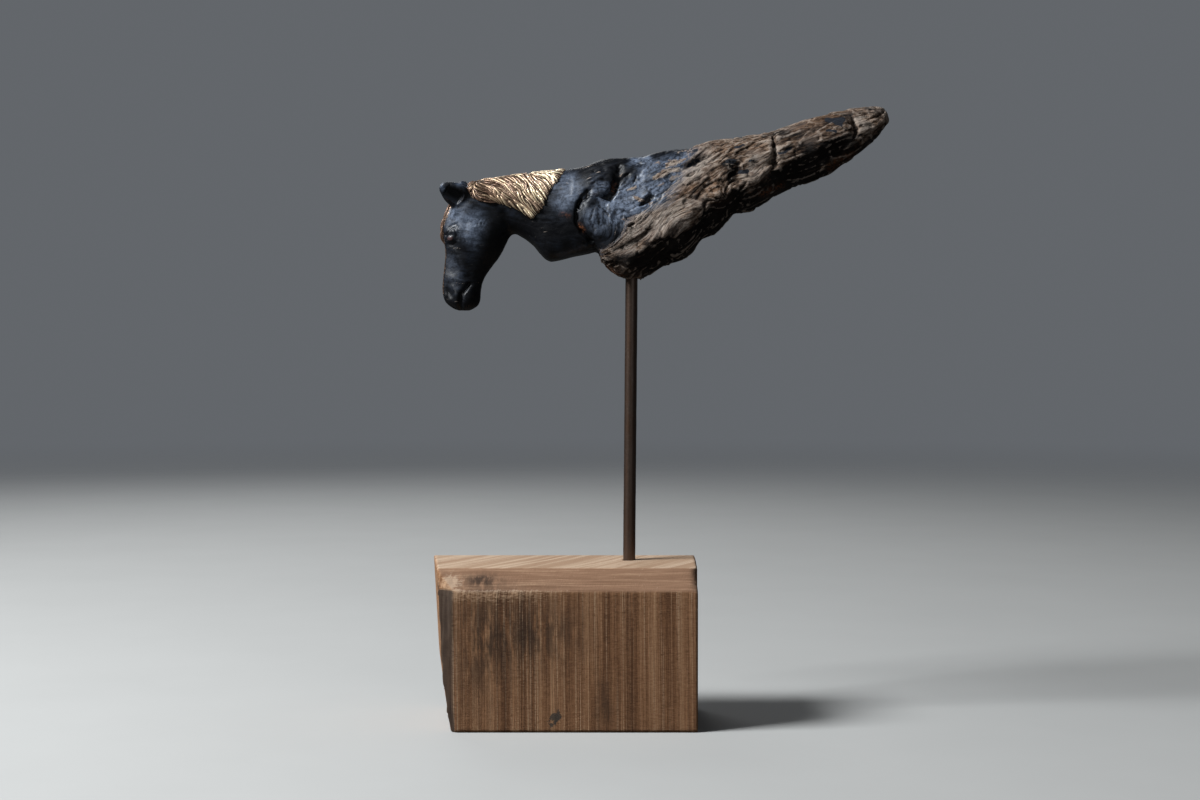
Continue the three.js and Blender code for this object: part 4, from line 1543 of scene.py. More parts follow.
LIP = Profile(
    (4, -11.5), (8.2, -13.3), (15.5, -16.7), (19.9, -20.1), (24.3, -24.4), (28.6, -25.9), (34.4, -24.9),
    (39.8, -22), (43, -19),
)
PAINT_EDGE = Profile(
    (5, -20), (12, -16), (18.9, -5.5), (28.6, -0.7), (32.5, 11.4), (41.2, 17.8), (50.4, 24), (60.6, 27),
)
FINE_FACE = (
    Mark(((-89.5, 20.7), (-87.6, 22.8), (-85.4, 24.2), (-84.4, 22.4), (-84.3, 19.8)), 0.5, -0.5),
    Mark(((-89.9, 22.8), (-86.6, 25.4), (-84.4, 25.8), (-83.2, 22.5), (-83.4, 18.4)), 0.45, -0.35),
    Mark(((-88.6, 21.3), (-86.4, 22.6), (-85.2, 22)), 0.8, 0.3),
    Mark(((-88.6, 16.6), (-86.2, 16), (-84.6, 17)), 0.5, -0.3),
    Mark(((-88, 15.2), (-84.6, 14.4)), 1.3, 0.4),
    Mark(((-84.1, 23.3), (-83.1, 20.9), (-83.3, 17.6)), 0.7, 0.12),
    Mark(
        ((-78.4, -3.1), (-80.3, -5.9), (-82, -7.9), (-82.5, -10.7), (-82.8, -12.6), (-82, -14.8)), 0.8, -0.55,
    ),
    Mark(((-89.4, -4.9), (-88.5, -7.4), (-88.8, -10)), 0.75, -0.3),
    Mark(((-89.8, 0.6), (-86.5, 0.2), (-82.5, -1.6)), 2.8, 0.42),
    Mark(((-88.6, -5.4), (-86, -6.2)), 2.6, -0.4),
    Mark(((-80.5, 2.4), (-78.4, -3.1)), 1.0, -0.2),
    Mark(((-79, 27), (-80.5, 20), (-78.5, 12.5), (-73, 8.5)), 1.6, -0.25),
    Mark(((-90.2, -12), (-86, -14.6)), 1.2, -0.5),
)
NEAR_CUTS = (
    Mark(
        ((-1.5, 49.8), (-4.6, 48.2), (-7.2, 46.5), (-8.5, 43.5), (-9, 40.5), (-10.5, 38), (-15, 38.2)),
        2.2, -2.6,
    ),
    Mark(((1.5, 49.7), (2, 47.8), (0.4, 44.9)), 0.8, -1.0),
    Mark(((11, 39.4), (7, 36), (3.2, 33.6)), 1.1, -1.6),
    Mark(((36, 58.6), (25.5, 52.2)), 1.5, -1.3),
    Mark(((67.6, 69.6), (68.3, 63), (68.9, 59), (67.5, 53.5)), 0.9, -1.6),
    Mark(((69.5, 68.9), (64.5, 69.4)), 1.2, -1.2),
    Mark(((104.4, 79.6), (106.5, 76.5), (107.8, 70), (106.5, 66)), 1.3, -1.8),
    Mark(((-19.8, 41), (-21.6, 39), (-23.8, 35.4)), 1.5, -1.8),
    Mark(((46.5, 55.2), (50.4, 54), (50.8, 51), (46.8, 49.2), (46, 46.4)), 1.9, -1.8),
    Mark(((-30.3, 50.8), (-25, 48), (-20.3, 45.2)), 0.45, -0.3),
    Mark(((-25.9, 44.3), (-20.3, 43)), 0.4, -0.25),
    Mark(((-19, 44.7), (-17.2, 46.2)), 0.7, -0.6),
    Mark(((-16.2, 34.6), (-13.5, 32), (-10.4, 28.8)), 0.7, -0.8),
    Mark(((-18.4, 32.4), (-19.6, 29), (-19, 25.6)), 0.6, -0.7),
    Mark(((-15.4, 30), (-16, 27), (-15.8, 24)), 0.5, -0.5),
    Mark(((1.4, 25.6), (-2.6, 23.6)), 1.1, -1.0),
    Mark(((0.5, 56.2), (6.5, 54.6)), 0.7, -0.6),
    Mark(((55, 46), (51, 40.4)), 1.2, -1.2),
    Mark(((20, 41), (30, 45.5)), 1.0, -0.9),
    Mark(((36.5, 44), (39.5, 38.2), (44, 36.4)), 0.9, -0.8),
    Mark(((72, 57.5), (66, 51)), 0.9, -0.9),
    Mark(((11, 17.5), (21, 18.5), (30, 23.5), (36, 30)), 1.1, -0.9),
    Mark(((58, 62), (66, 66.5)), 0.6, -0.7),
)
FLAKES = (
    Mark(((93.8, 76), (98, 75.2), (102, 75.8)), 1.2),
    Mark(((98, 74.6), (101, 73.4)), 1.0),
    Mark(((93.6, 70.4), (97.6, 70)), 0.8),
    Mark(((70.6, 59.6), (76.4, 61.8)), 0.8),
    Mark(((45.7, 55.8), (48.4, 55.4)), 1.1),
    Mark(((52, 50.4), (54.6, 51.6)), 0.9),
    Mark(((56.4, 55.7), (58, 56.2)), 0.7),
    Mark(((27.5, 53.4), (32, 56.2)), 1.0),
    Mark(((26.6, 61), (31, 61.6)), 1.3),
    Mark(((49.5, 63), (54, 64)), 0.8),
)
RUST_MARKS = (
    Mark(((-8.9, 45.4), (-9.4, 41.5)), 0.8, 1.0),
    Mark(((-25.2, 25.4), (-23, 22.6)), 0.7, 0.6),
    Mark(((-6, 1.5), (-12, 5)), 1.2, 0.6),
    Mark(((96, 53.5), (108, 60)), 1.6, 0.6),
    Mark(((62, 40), (72, 45)), 1.6, 0.45),
    Mark(((-34, 30.5), (-30, 30)), 1.0, 0.25),
)
PALE_MARKS = (
    Mark(((-13, 5), (-2, 16.3), (11.6, 31.5), (17.9, 39.3), (24.1, 45.5), (35.9, 58.6)), 3.8, 1.3),
    Mark(((16, 21), (24, 31)), 6.0, 1.8),
    Mark(((2, 34.5), (8, 39)), 1.6, 1.0),
    Mark(((-1.5, 42.4), (2, 43.6)), 0.9, 1.0),
    Mark(((10.4, 47.4), (21.6, 52.4)), 1.6, 0.9),
    Mark(((19, 53.6), (25, 56)), 1.2, 0.8),
    Mark(((54, 45), (61, 53)), 4.2, 2.0),
    Mark(((62, 57), (88, 68)), 4.6, 1.1),
    Mark(((109.5, 77.5), (114, 73.5)), 3.2, 1.1),
    Mark(((-4, 8), (6, 13)), 2.5, 0.5),
)
WORN_MARKS = (
    Mark(((2.5, 37.5), (8, 35.5)), 1.3, 1.1),
    Mark(((-1.5, 42.4), (2, 43.6)), 0.8, 1.0),
    Mark(((10.4, 47.4), (21.6, 52.4)), 1.5, 1.1),
    Mark(((17, 54), (25, 56.4)), 1.1, 1.0),
    Mark(((12, 43), (20, 47.5)), 0.8, 0.9),
    Mark(((8, 53), (14, 55)), 0.7, 0.8),
    Mark(((-7, 29), (-3, 27.5)), 0.6, 0.7),
)
WARM_MARKS = (
    Mark(((19, 38), (30, 43.5)), 2.6, 1.0),
    Mark(((37, 44), (43, 38)), 4.0, 0.7),
    Mark(((56, 44), (62, 52)), 3.0, 0.35),
    Mark(((76, 68), (98, 78)), 4.5, 0.6),
    Mark(((118, 78), (124, 76)), 4.0, 0.9),
    Mark(((-11, 4), (2, 1)), 3.0, 0.9),
    Mark(((96, 52), (108, 60)), 3.0, 0.6),
    Mark(((28, 60), (60, 64)), 3.0, 0.4),
)
# Painted highlights: where the paint catches the light on the shoulder, the shell, the top edge, the cheek, the
# muzzle and the ear tips.
PAINTED_GLINT_MARKS = (
    Mark(((-33, 36), (-27.5, 41.5)), 4.2, 1.1),
    Mark(((-38, 45), (-30, 48)), 3.4, 0.7),
    Mark(((-8.5, 31), (-2, 37)), 5.6, 1.4),
    Mark(((-17, 40), (-11, 36)), 2.6, 0.8),
    Mark(((-3, 41), (4, 46)), 3.4, 0.7),
    Mark(((4, 33), (12, 40), (19, 47), (27, 54)), 4.2, 0.9),
    Mark(((6, 51), (18, 55), (26, 58)), 3.0, 0.8),
    Mark(((-20, 30), (-17, 24)), 3.6, 0.6),
    Mark(((1, 56.4), (8, 56.6)), 2.2, 0.9),
    Mark(((6, 42), (16, 45.5)), 3.0, 0.5),
    Mark(((-17, 45.5), (-12, 43)), 2.6, 0.5),
    Mark(((-85, 30), (-75, 26)), 5.0, 0.9),
    Mark(((-79, 22), (-75, 17)), 3.6, 0.5),
    Mark(((-88, 8), (-84, -2)), 3.6, 0.2),
    Mark(((-92, 45), (-90, 42.4)), 1.3, 0.9),
    Mark(((-83, 46.8), (-79, 45.2)), 1.8, 0.9),
    Mark(((-35, 11), (-22, 15.5)), 1.3, 0.5),
)
# Painted shade where the carving turns away from the light: the jaw, under the neck and under the wood, where it
# also stands for some dark stain.
SHADE_MARKS = (
    Mark(((-1, 6), (8.5, 10), (22, 13), (31, 17)), 4.6, 1.3),
    Mark(((34, 22), (44, 30), (53, 33)), 4.6, 1.2),
    Mark(((66, 40), (72, 46), (80, 52), (90, 58), (102, 62)), 4.8, 1.5),
    Mark(((74, 66), (100, 78)), 6.0, 0.36),
    Mark(((-62, 17), (-66, 10), (-71, 0), (-75, -10)), 4.4, 1.1),
    Mark(((-36, 22), (-28, 24), (-21, 21)), 4.4, 1.0),
    Mark(((-56, 23), (-46, 24)), 3.4, 0.6),
    Mark(((47, 54), (48, 48)), 3.2, 0.8),
    Mark(((52, 41), (47, 37)), 2.6, 0.9),
    Mark(((-6, 50), (-1, 50.5)), 2.6, 0.5),
    Mark(((-88, 41), (-82, 39.6)), 1.8, 1.0),
    Mark(((64, 69.5), (72, 70)), 1.4, 0.9),
)


@dataclass(frozen=True)
class GrainFlow:
    """The way the fibres run: along the wood, round its knots, and turning in the shell at its front."""

    line: Profile
    knots: tuple[Spot, ...] = (
        Spot(41, 40, 5, 5, 4.0), Spot(21, 27.5, 9, 9, -5.0), Spot(58, 49, 5, 5, 2.0), Spot(-8, 44, 5, 5, 3.0),
    )
    shell: Pair = (-14, 27)
    shell_radii: Pair = (10, 12)
    turn_centre: Pair = (14, 31)
    turn_length: float = 30.0

    def coordinates(self, points: Points) -> Points:
        """Places in the grain.

        Args:
            points: Places in the carving's frame.

        Returns:
            Along, across and into the grain at each point, in millimetres.
        """
        x, y, z = points.T
        along = 1.15 * x + 0.35 * z
        across = 0.8 * (z - self.line(x))
        near = y < 0
        for knot in self.knots:
            across = across + near * knot.at(x, z)
        away = np.hypot((x - self.shell[0]) / self.shell_radii[0], (z - self.shell[1]) / self.shell_radii[1])
        turned = np.exp(-(away**4)) * near
        from_x, from_z = x - self.turn_centre[0], z - self.turn_centre[1]
        radius = np.hypot(from_x, from_z)
        angle = np.arctan2(from_z, -from_x) * self.turn_length
        return np.stack([mix(along, angle, turned), mix(across, radius, turned), y], axis=1)


@dataclass
class CarvedDriftwood:
    """The carving: the solids' form with its fine relief, and what its material reads."""

    effects: Effects
    form: CarvedForm = field(default_factory=CarvedForm)
    voxel: float = 0.66
    head_finer: float = 1.35
    rod_in_wood: float = 18.0
    eye_centre: Pair = (-87.4, 19.0)
    eye_radii: Pair = (1.35, 1.1)
    eye_lift: float = 0.35
    smooth_bulge: Spot = Spot(21, 27, 9, 7.5, 0.75)
    nodules: Spot = Spot(-72.5, 27, 3, 3.2, 0.42)
    wide_turns: int = 14
    narrow_turns: int = 3

    def __post_init__(self) -> None:
        """Finds where the rod enters the wood, from the rod's solid."""
        _, head, axis = rod_ends()
        self.seat = head - self.rod_in_wood * axis
        self.flow = GrainFlow(self.form.grain_line)

    def lens(self, x: Values) -> Values:
        """How much larger the head is drawn while its faces are made, so that they come out finer."""
        return mix(self.head_finer, 1.0, smoothstep(-50, -20, x))

    def fine_surface(self) -> tuple[Surface, Points]:
        """An even, fine mesh of the form.

        Returns:
            The surface in the carving's frame, and the outward direction at each point.
        """
        coarse = copy_of("carved_driftwood")
        x, y, z = (coarse.points - self.seat).T
        at = np.linspace(-110, 140, 2001)
        drawn = np.cumsum(self.lens(at)) * (at[1] - at[0])
        middle, larger = 20, self.lens(x)
        coarse.points = np.stack([np.interp(x, at, drawn), y * larger, (z - middle) * larger], axis=1)
        fine = remeshed(coarse, self.voxel)
        x = np.interp(fine.points[:, 0], drawn, at)
        larger = self.lens(x)
        fine.points = np.stack([x, fine.points[:, 1] / larger, fine.points[:, 2] / larger + middle], axis=1)
        fine.points, outward = self.form.settle(fine.points)
        return fine, outward

    def bare(self, points: Points, grain: Points) -> Values:
        """How bare the wood is.

        Args:
            points: Places on the surface.
            grain: Along, across and into the grain there.

        Returns:
            1 where the wood is bare, 0 where it is painted, and in between where the paint thins out.
        """
        x, y, z = points.T
        edge = PAINT_EDGE(z) + np.where(y > 0, 4.0, 0.0)
        ragged = 3.2 * fibres(grain, 13, 4.5, 3.1) + 1.6 * fibres(grain, 6, 1.8, 8.4)
        fade = 3.4 + 5.0 * smoothstep(24, 44, z)
        beyond = smoothstep(-fade, fade, x - edge - ragged)
        moved_x, _, moved_z = strayed(points, 1.2).T
        worn = sum(mark.lift(moved_x, moved_z) for mark in WORN_MARKS) * smoothstep(0, -3, y)
        return np.maximum(beyond, smoothstep(0.2, 0.9, worn + 0.5 * fibres(grain, 6, 1.8, 2.2)))

    def wood_relief(self, points: Points, grain: Points, bare: Values) -> Values:
        """Fibres, splits, torn plates and pits of the old wood.

        Args:
            points: Places on the surface.
            grain: Along, across and into the grain there.
            bare: 1 where the wood is bare.

        Returns:
            Heights in millimetres.
        """
        x, y, z = points.T
        patchy = smoothstep(-0.35, 0.35, fibres(grain, 24, 9, 7.7))
        furrows = np.exp(-((fibres(grain, 42, 3.0, 1.7) / 0.10) ** 2)) * patchy
        scores = np.exp(-((fibres(grain, 26, 1.6, 5.2) / 0.12) ** 2)) * (1 - 0.6 * patchy)
        threads = 0.5 * fibres(grain, 34, 2.0, 8.8) + 0.35 * fibres(grain, 20, 1.2, 0.6)
        swells = fibres(grain, 34, 7.0, 4.1)
        sparse = smoothstep(0.0, 0.4, fibres(grain, 30, 9, 2.9))
        splits = np.exp(-((fibres(grain, 40, 5.5, 9.3) / 0.06) ** 2)) * sparse
        layers = 2.0 * fibres(grain, 26, 6.0, 6.6) + 0.5 * fibres(grain, 12, 2.2, 4.4)
        torn = layers - np.floor(layers)
        torn = smoothstep(0.0, 0.14, torn) * (1 - torn)
        pits = smoothstep(0.46, 0.75, noise(x / 2.3, y / 2.3, z / 2.3))
        crumbs = noise(x / 1.5, y / 1.5, z / 1.5) * smoothstep(-0.1, 0.4, noise(x / 9, y / 9, z / 9))
        rough = mix(0.5, 1.0, bare)
        smooth = self.smooth_bulge.at(x, z) * (y < 0)
        height = 0.55 * swells - 0.36 * furrows - 0.24 * scores - 1.1 * splits + 0.72 * torn - 0.4 * pits
        height = height + 0.36 * threads + 0.26 * crumbs
        moved = strayed(points, 0.45)
        cuts = sum(mark.cut(moved[:, 0], moved[:, 2]) for mark in NEAR_CUTS) * smoothstep(0, -3, y)
        return rough * (1 - smooth) * height + cuts

    def lip_relief(self, points: Points) -> Values:
        """The rough wood's lip, which stands over the smooth neck on the near side.

        Args:
            points: Places in the carving's frame.

        Returns:
            Heights in millimetres.
        """
        x, y, z = points.T
        beyond = x - LIP(z)
        reach = smoothstep(3, 8, z) * smoothstep(43, 38, z) * smoothstep(-2, -6, y)
        beyond = beyond + 0.9 * noise(x / 2.6, y / 2.6, z / 2.6)
        lip = 1.0 * smoothstep(-0.4, 0.5, beyond) * np.exp(-np.maximum(beyond, 0) / 5)
        groove = -0.8 * np.exp(-(((beyond + 0.9) / 0.8) ** 2))
        return reach * (1 + 0.5 * noise(x / 4, y / 4, z / 4)) * (lip + groove)

    def paint_relief(self, points: Points) -> Values:
        """The brushed and slightly lumpy surface of the painted horse, with its finer features.

        Args:
            points: Places in the carving's frame.

        Returns:
            Heights in millimetres.
        """
        x, y, z = points.T
        brushed = 0.06 * noise(x / 3.2, y / 2.2, z / 2.2) + 0.04 * noise(x / 1.3, y / 1.1, z / 1.1)
        nodules = self.nodules.at(x, z) * (y < 0) * noise(x / 0.9, y / 0.9, z / 0.9)
        return brushed + nodules + relief_of(FINE_FACE, FINE_FACE, points, 2.4)

    def eye(self, points: Points) -> Values:
        """Finds the eyeballs.

        Args:
            points: Places in the carving's frame.

        Returns:
            1 on them and 0 off them.
        """
        x, y, z = points.T
        from_x, from_z = x - self.eye_centre[0], z - self.eye_centre[1]
        away = np.hypot(from_x / self.eye_radii[0], from_z / self.eye_radii[1])
        return smoothstep(1.12, 0.9, away) * smoothstep(2, 4, np.abs(y))

    def masks(self, surface: Surface, outward: Points, grain: Points, bare: Values) -> dict[str, Points]:
        """What the material reads at each point.

        Args:
            surface: The surface with its relief.
            outward: The outward direction at each point.
            grain: Along, across and into the grain.
            bare: 1 where the wood is bare.

        Returns:
            Three numbers at each point, by the attribute's name.
        """
        points = surface.points
        x, y, z = points.T
        wide = ((surface.smoothed(self.wide_turns) - points) * outward).sum(1)
        narrow = ((surface.smoothed(self.narrow_turns) - points) * outward).sum(1)
        sunk = 0.9 * wide + 2.2 * narrow
        near = smoothstep(1, -3, y)
        moved_x, _, moved_z = strayed(points, 0.8).T

        def sum_of(marks: tuple[Mark, ...], far_share: float) -> Values:
            """Adds marks up, with only a share of them on the far side."""
            return sum(mark.lift(moved_x, moved_z) for mark in marks) * mix(far_share, 1.0, near)

        gilt = np.maximum(self.form.hair.mane_cover(points), self.form.hair.forelock_cover(points))
        nose = smoothstep(2.6, 1.2, np.abs(y)) * smoothstep(2.0, 0.6, x - self.form.head.front(z))
        gilt = np.maximum(gilt, 0.75 * nose * smoothstep(-12, -4, z) * smoothstep(40, 34, z))
        flakes = np.minimum(sum_of(FLAKES, 0.0), 1) * bare
        # Painted shade on every surface that faces down.
        below = smoothstep(-0.15, -0.75, outward[:, 2])
        shade = np.clip(sum_of(SHADE_MARKS, 0.3) + 0.75 * below, 0, 1)
        pale = np.clip(sum_of(PALE_MARKS, 0.3), 0, 1) * (1 - shade)
        # warm is the wood's own colour; the glints are painted highlights.
        warm, painted_glint = (np.clip(sum_of(marks, 0.4), 0, 1) for marks in (WARM_MARKS, PAINTED_GLINT_MARKS))
        rust = np.clip(sum_of(RUST_MARKS, 0.3), 0, 1)
        return {
            "grain": grain,
            "coat": triples(1 - bare, gilt, self.eye(points)),
            "weather": triples(np.clip(sunk, 0, 1), np.clip(-sunk, 0, 1), rust),
            "tone": triples(pale, shade, warm),
            # Paint flakes, and the painted highlights, which fade where shade is painted.
            "slate_and_sheen": triples(flakes, painted_glint * (1 - 0.7 * shade)),
        }

    def build(self) -> bpy.types.Object:
        """Builds and dresses the carving.

        Returns:
            The piece.
        """
        surface, outward = self.fine_surface()
        points = surface.points
        x, y, z = points.T
        grain = self.flow.coordinates(points)
        bare = self.bare(points, grain)
        wood = self.form.wood_cover(x, z)
        height = wood * self.wood_relief(points, grain, bare) + self.lip_relief(points)
        height = height + (1 - wood) * self.paint_relief(points) + self.eye_lift * self.eye(points)
        near_rod = np.hypot(x, y) < self.form.socket_radius + 0.6
        height[near_rod & (z < self.form.socket_depth + 1)] = 0.0
        surface.points = points + outward * height[:, None]
        masks = self.masks(surface, outward, grain, bare)
        placed = Surface((surface.points + self.seat) * MM, surface.faces)
        mesh = mesh_from("carved_horse", placed)
        for name, values in masks.items():
            add_attribute(mesh, name, values)
        return link_piece("carved_horse", mesh, CarvedFinish(self.effects).material(), "carved_driftwood")


@dataclass(frozen=True)
class Comb:
    """A place on the near side of the mane, and the way its hair lies there in degrees below level."""

    x: float
    z: float
    degrees: float


NEAR_COMBS = (
    Comb(-79.2, 40.3, 90), Comb(-78.3, 44.1, 118), Comb(-76.8, 36.9, 60), Comb(-73.4, 34.9, 24),
    Comb(-68.6, 34, 12), Comb(-64.7, 33.5, 16), Comb(-71, 38.8, 22), Comb(-73.4, 42.2, 42),
    Comb(-68.6, 45.6, 42), Comb(-63.7, 40.7, 38), Comb(-61.3, 45.6, 48), Comb(-61.3, 34.9, 38),
    Comb(-56.5, 31.5, 42), Comb(-56.5, 38.3, 46), Comb(-54, 46.6, 52), Comb(-50.6, 30, 48),
    Comb(-51.6, 35.9, 50), Comb(-47.7, 43.2, 54), Comb(-48.2, 31, 60), Comb(-44.3, 38.3, 62),
    Comb(-41.9, 45.6, 55), Comb(-38.5, 48, 48),
)


@dataclass
class HairLocks:
    """The gilded strands of the mane and of the forelock, laid over the neck and the forehead."""

    form: CarvedForm
    seat: np.ndarray
    spacing: float = 1.14
    strand_length: Pair = (7.0, 12.5)
    girth: float = 0.6
    step: float = 0.55
    sides: int = 7
    seed: int = 11
    far_degrees: float = 50.0
    sway_degrees: float = 22.0
    along_spacing: float = 3.6
    tries: int = 60000
    thinnest: float = 0.45

    def heading(self, points: Points, outward: Points) -> Points:
        """The way the hair lies at each point, along the surface.

        Args:
            points: Places on the surface.
            outward: The outward directions there.

        Returns:
            Directions of length 1.
        """
        x, y, z = points.T
        weight = np.stack([1 / ((x - c.x) ** 2 + (z - c.z) ** 2 + 1.5) ** 2 for c in NEAR_COMBS])
        turn = np.radians(np.array([c.degrees for c in NEAR_COMBS]))[:, None]
        near = np.arctan2((weight * np.sin(turn)).sum(0), (weight * np.cos(turn)).sum(0))
        wave = 1.3 * noise(x / 4.5, y / 9, z / 4.5) + 0.6 * noise(x / 2.1, y / 9, z / 2.1)
        level = np.where(y < 0, near, math.radians(self.far_degrees))
        angle = level + math.radians(self.sway_degrees) * wave
        way = np.stack([np.cos(angle), np.zeros(len(x)), -np.sin(angle)], axis=1)
        fringe = self.form.hair.forelock_cover(points) > 0
        way[fringe] = (0, 0, -1)
        way = way - (way * outward).sum(1)[:, None] * outward
        return way / np.maximum(np.linalg.norm(way, axis=1), 1e-6)[:, None]

    def roots(self, rng: np.random.Generator) -> Points:
        """Picks places for the strands, spaced more closely across the hair than along it.

        Args:
            rng: Source of the places.

        Returns:
            Places on the surface.
        """
        places = rng.uniform((-92, -12, 16), (-30, 12, 56), (self.tries, 3))
        places = places[(self.covered(places) > 0.8) & (np.abs(self.form.distance(places)) < 0.8)]
        places, outward = self.form.settle(places)
        keep = self.covered(places) > 0.8
        places, outward = places[keep], outward[keep]
        way = self.heading(places, outward)
        chosen: list[int] = []
        for n, place in enumerate(places):
            offset = places[chosen] - place
            along = offset @ way[n]
            across = np.sqrt(np.maximum((offset * offset).sum(1) - along * along, 0))
            if np.all((along / self.along_spacing) ** 2 + (across / self.spacing) ** 2 > 1):
                chosen.append(n)
        return places[chosen]

    def traced(self, roots: Points, rng: np.random.Generator) -> list[Points]:
        """Follows the hair from each root until its length or the edge of the hair.

        Args:
            roots: Where the strands cross.
            rng: Source of the lengths.

        Returns:
            The points of each strand.
        """
        most = int(self.strand_length[1] / self.step)
        back = most // 3
        wanted = (rng.uniform(*self.strand_length, len(roots)) / self.step).astype(int)
        places, outward = self.form.settle(roots)
        for _ in range(back):
            stepped = places - self.step * self.heading(places, outward)
            stepped, out = self.form.settle(stepped, 2)
            inside = self.covered(stepped) > 0.3
            places = np.where(inside[:, None], stepped, places)
            outward = np.where(inside[:, None], out, outward)
        path = [places]
        running = np.ones(len(roots), bool)
        count = np.ones(len(roots), int)
        for n in range(most):
            stepped, out = self.form.settle(places + self.step * self.heading(places, outward), 2)
            running &= (self.covered(stepped) > 0.02) & (n < wanted)
            places = np.where(running[:, None], stepped, places)
            outward = np.where(running[:, None], out, outward)
            count += running
            path.append(places)
        stacked = np.stack(path, axis=1)
        return [stacked[n, : count[n]] for n in range(len(roots)) if count[n] > 5]

    def covered(self, points: Points) -> Values:
        """1 where hair covers the surface, and 0 where there is none."""
        return np.maximum(self.form.hair.mane_cover(points), self.form.hair.forelock_cover(points))

    def guide_mesh(self) -> bpy.types.Mesh:
        """Makes the middle lines of the strands, with how thick each is at each point.

        Returns:
            A mesh of edges.
        """
        rng = np.random.default_rng(self.seed)
        strands = self.traced(self.roots(rng), rng)
        points, edges, shape, girth = [], [], [], []
        for lock, strand in enumerate(strands):
            start = len(points)
            t = np.linspace(0, 1, len(strand))
            taper = mix(1.0, 0.22, smoothstep(0.55, 1.0, t))
            swell = smoothstep(0, 0.3, t) * taper + 0.25 * (1 - t) ** 4
            bright = rng.uniform() * (0.3 if strand[0, 0] < -82 else 1.0)
            _, outward = self.form.settle(strand, 1)
            lifted = strand + outward * (0.12 + 0.25 * swell * rng.uniform())[:, None]
            points.extend((lifted + self.seat) * MM)
            edges.extend((start + n, start + n + 1) for n in range(len(strand) - 1))
            girth.extend(swell)
            shape.extend((bright, s, lock) for s in t)
        mesh = bpy.data.meshes.new("hair_guides")
        mesh.from_pydata([tuple(p) for p in points], edges, [])
        add_attribute(mesh, "strand", np.array(shape))
        thickness = mesh.attributes.new("thickness", "FLOAT", "POINT")
        thickness.data.foreach_set("value", np.array(girth, np.float32))
        log.info("hair: %d strands", len(strands))
        return mesh

    def strand_tree(self, material: bpy.types.Material) -> bpy.types.NodeTree:
        """Makes the node group that turns each middle line into a tapering strand.

        Args:
            material: The strands' material.

        Returns:
            The group.
        """
        graph, given, made = new_group(
            "Gilded strands",
            "GeometryNodeTree",
            {
                "Geometry": "NodeSocketGeometry", "Strand radius": "NodeSocketFloat",
                "Thinnest": "NodeSocketFloat", "Sides": "NodeSocketInt", "Seed": "NodeSocketInt",
            },
            {"Geometry": "NodeSocketGeometry"},
        )
        curves = graph.add("GeometryNodeMeshToCurve", {"Mesh": given.outputs["Geometry"]}).outputs[0]
        thickness = graph.add("GeometryNodeInputNamedAttribute", {"Name": "thickness"}, data_type="FLOAT")
        strand = graph.add("GeometryNodeInputNamedAttribute", {"Name": "strand"}, data_type="FLOAT_VECTOR")
        lock = graph.add("ShaderNodeSeparateXYZ", {0: strand.outputs[0]}).outputs[2]
        uneven = self.random_value(graph, given, lock)
        radius = graph.times(graph.times(thickness.outputs[0], given.outputs["Strand radius"]), uneven)
        section = graph.add(
            "GeometryNodeCurvePrimitiveCircle",
            {"Resolution": given.outputs["Sides"], "Radius": 1.0},
            mode="RADIUS",
        ).outputs[0]
        tube = self.swept(graph, curves, radius, section)
        smooth = graph.add("GeometryNodeSetShadeSmooth", {0: tube}).outputs[0]
        real = graph.add("GeometryNodeRealizeInstances", {0: smooth}).outputs[0]
        dressed = graph.add("GeometryNodeSetMaterial", {"Geometry": real, "Material": material})
        graph.feed(made.inputs["Geometry"], dressed.outputs[0])
        return graph.tree

    def random_value(self, graph: Graph, given: bpy.types.Node, lock: Any) -> Socket:
        """A random share of the full thickness for each strand.

        Args:
            graph: The tree.
            given: The group's inputs.
            lock: The strand's number.

        Returns:
            A number socket.
        """
        node = graph.add("FunctionNodeRandomValue", data_type="FLOAT")
        for socket in node.inputs:
            if socket.name == "Min" and socket.type == "VALUE":
                graph.feed(socket, given.outputs["Thinnest"])
            if socket.name == "Max" and socket.type == "VALUE":
                socket.default_value = 1.0
        graph.feed(node.inputs["ID"], lock)
        graph.feed(node.inputs["Seed"], given.outputs["Seed"])
        return next(socket for socket in node.outputs if socket.type == "VALUE")

    def swept(self, graph: Graph, curves: Any, radius: Any, section: Any) -> Socket:
        """Sweeps the section along each curve.

        Args:
            graph: The tree.
            curves: The curves.
            radius: The strand's radius at each of their points.
            section: The outline that is swept, of radius 1.

        Returns:
            A geometry socket.
        """
        sized = graph.add("GeometryNodeSetCurveRadius", {"Curve": curves, "Radius": radius}).outputs[0]
        sweep = graph.add(
            "GeometryNodeCurveToMesh",
            {"Curve": sized, "Profile Curve": section, "Fill Caps": True},
        )
        if "Scale" in sweep.inputs:
            graph.feed(sweep.inputs["Scale"], graph.add("GeometryNodeInputRadius").outputs[0])
        return sweep.outputs[0]

    def build(self) -> bpy.types.Object:
        """Builds and dresses the strands.

        Returns:
            The piece.
        """
        material = HairFinish().material()
        guides = bpy.data.objects.new("hair_guides", self.guide_mesh())
        bpy.context.scene.collection.objects.link(guides)
        modifier = guides.modifiers.new("Strands", "NODES")
        modifier.node_group = self.strand_tree(material)
        values = {
            "Strand radius": self.girth * MM, "Thinnest": self.thinnest,
            "Sides": self.sides, "Seed": self.seed,
        }
        for item in modifier.node_group.interface.items_tree:
            if item.in_out == "INPUT" and item.name in values:
                modifier[item.identifier] = values[item.name]
        bpy.context.view_layer.update()
        evaluated = guides.evaluated_get(bpy.context.evaluated_depsgraph_get())
        mesh = bpy.data.meshes.new_from_object(evaluated)
        mesh.name = "gilded_hair"
        bpy.data.objects.remove(guides)
        return link_piece("gilded_hair", mesh, material, "carved_driftwood")


# The stand


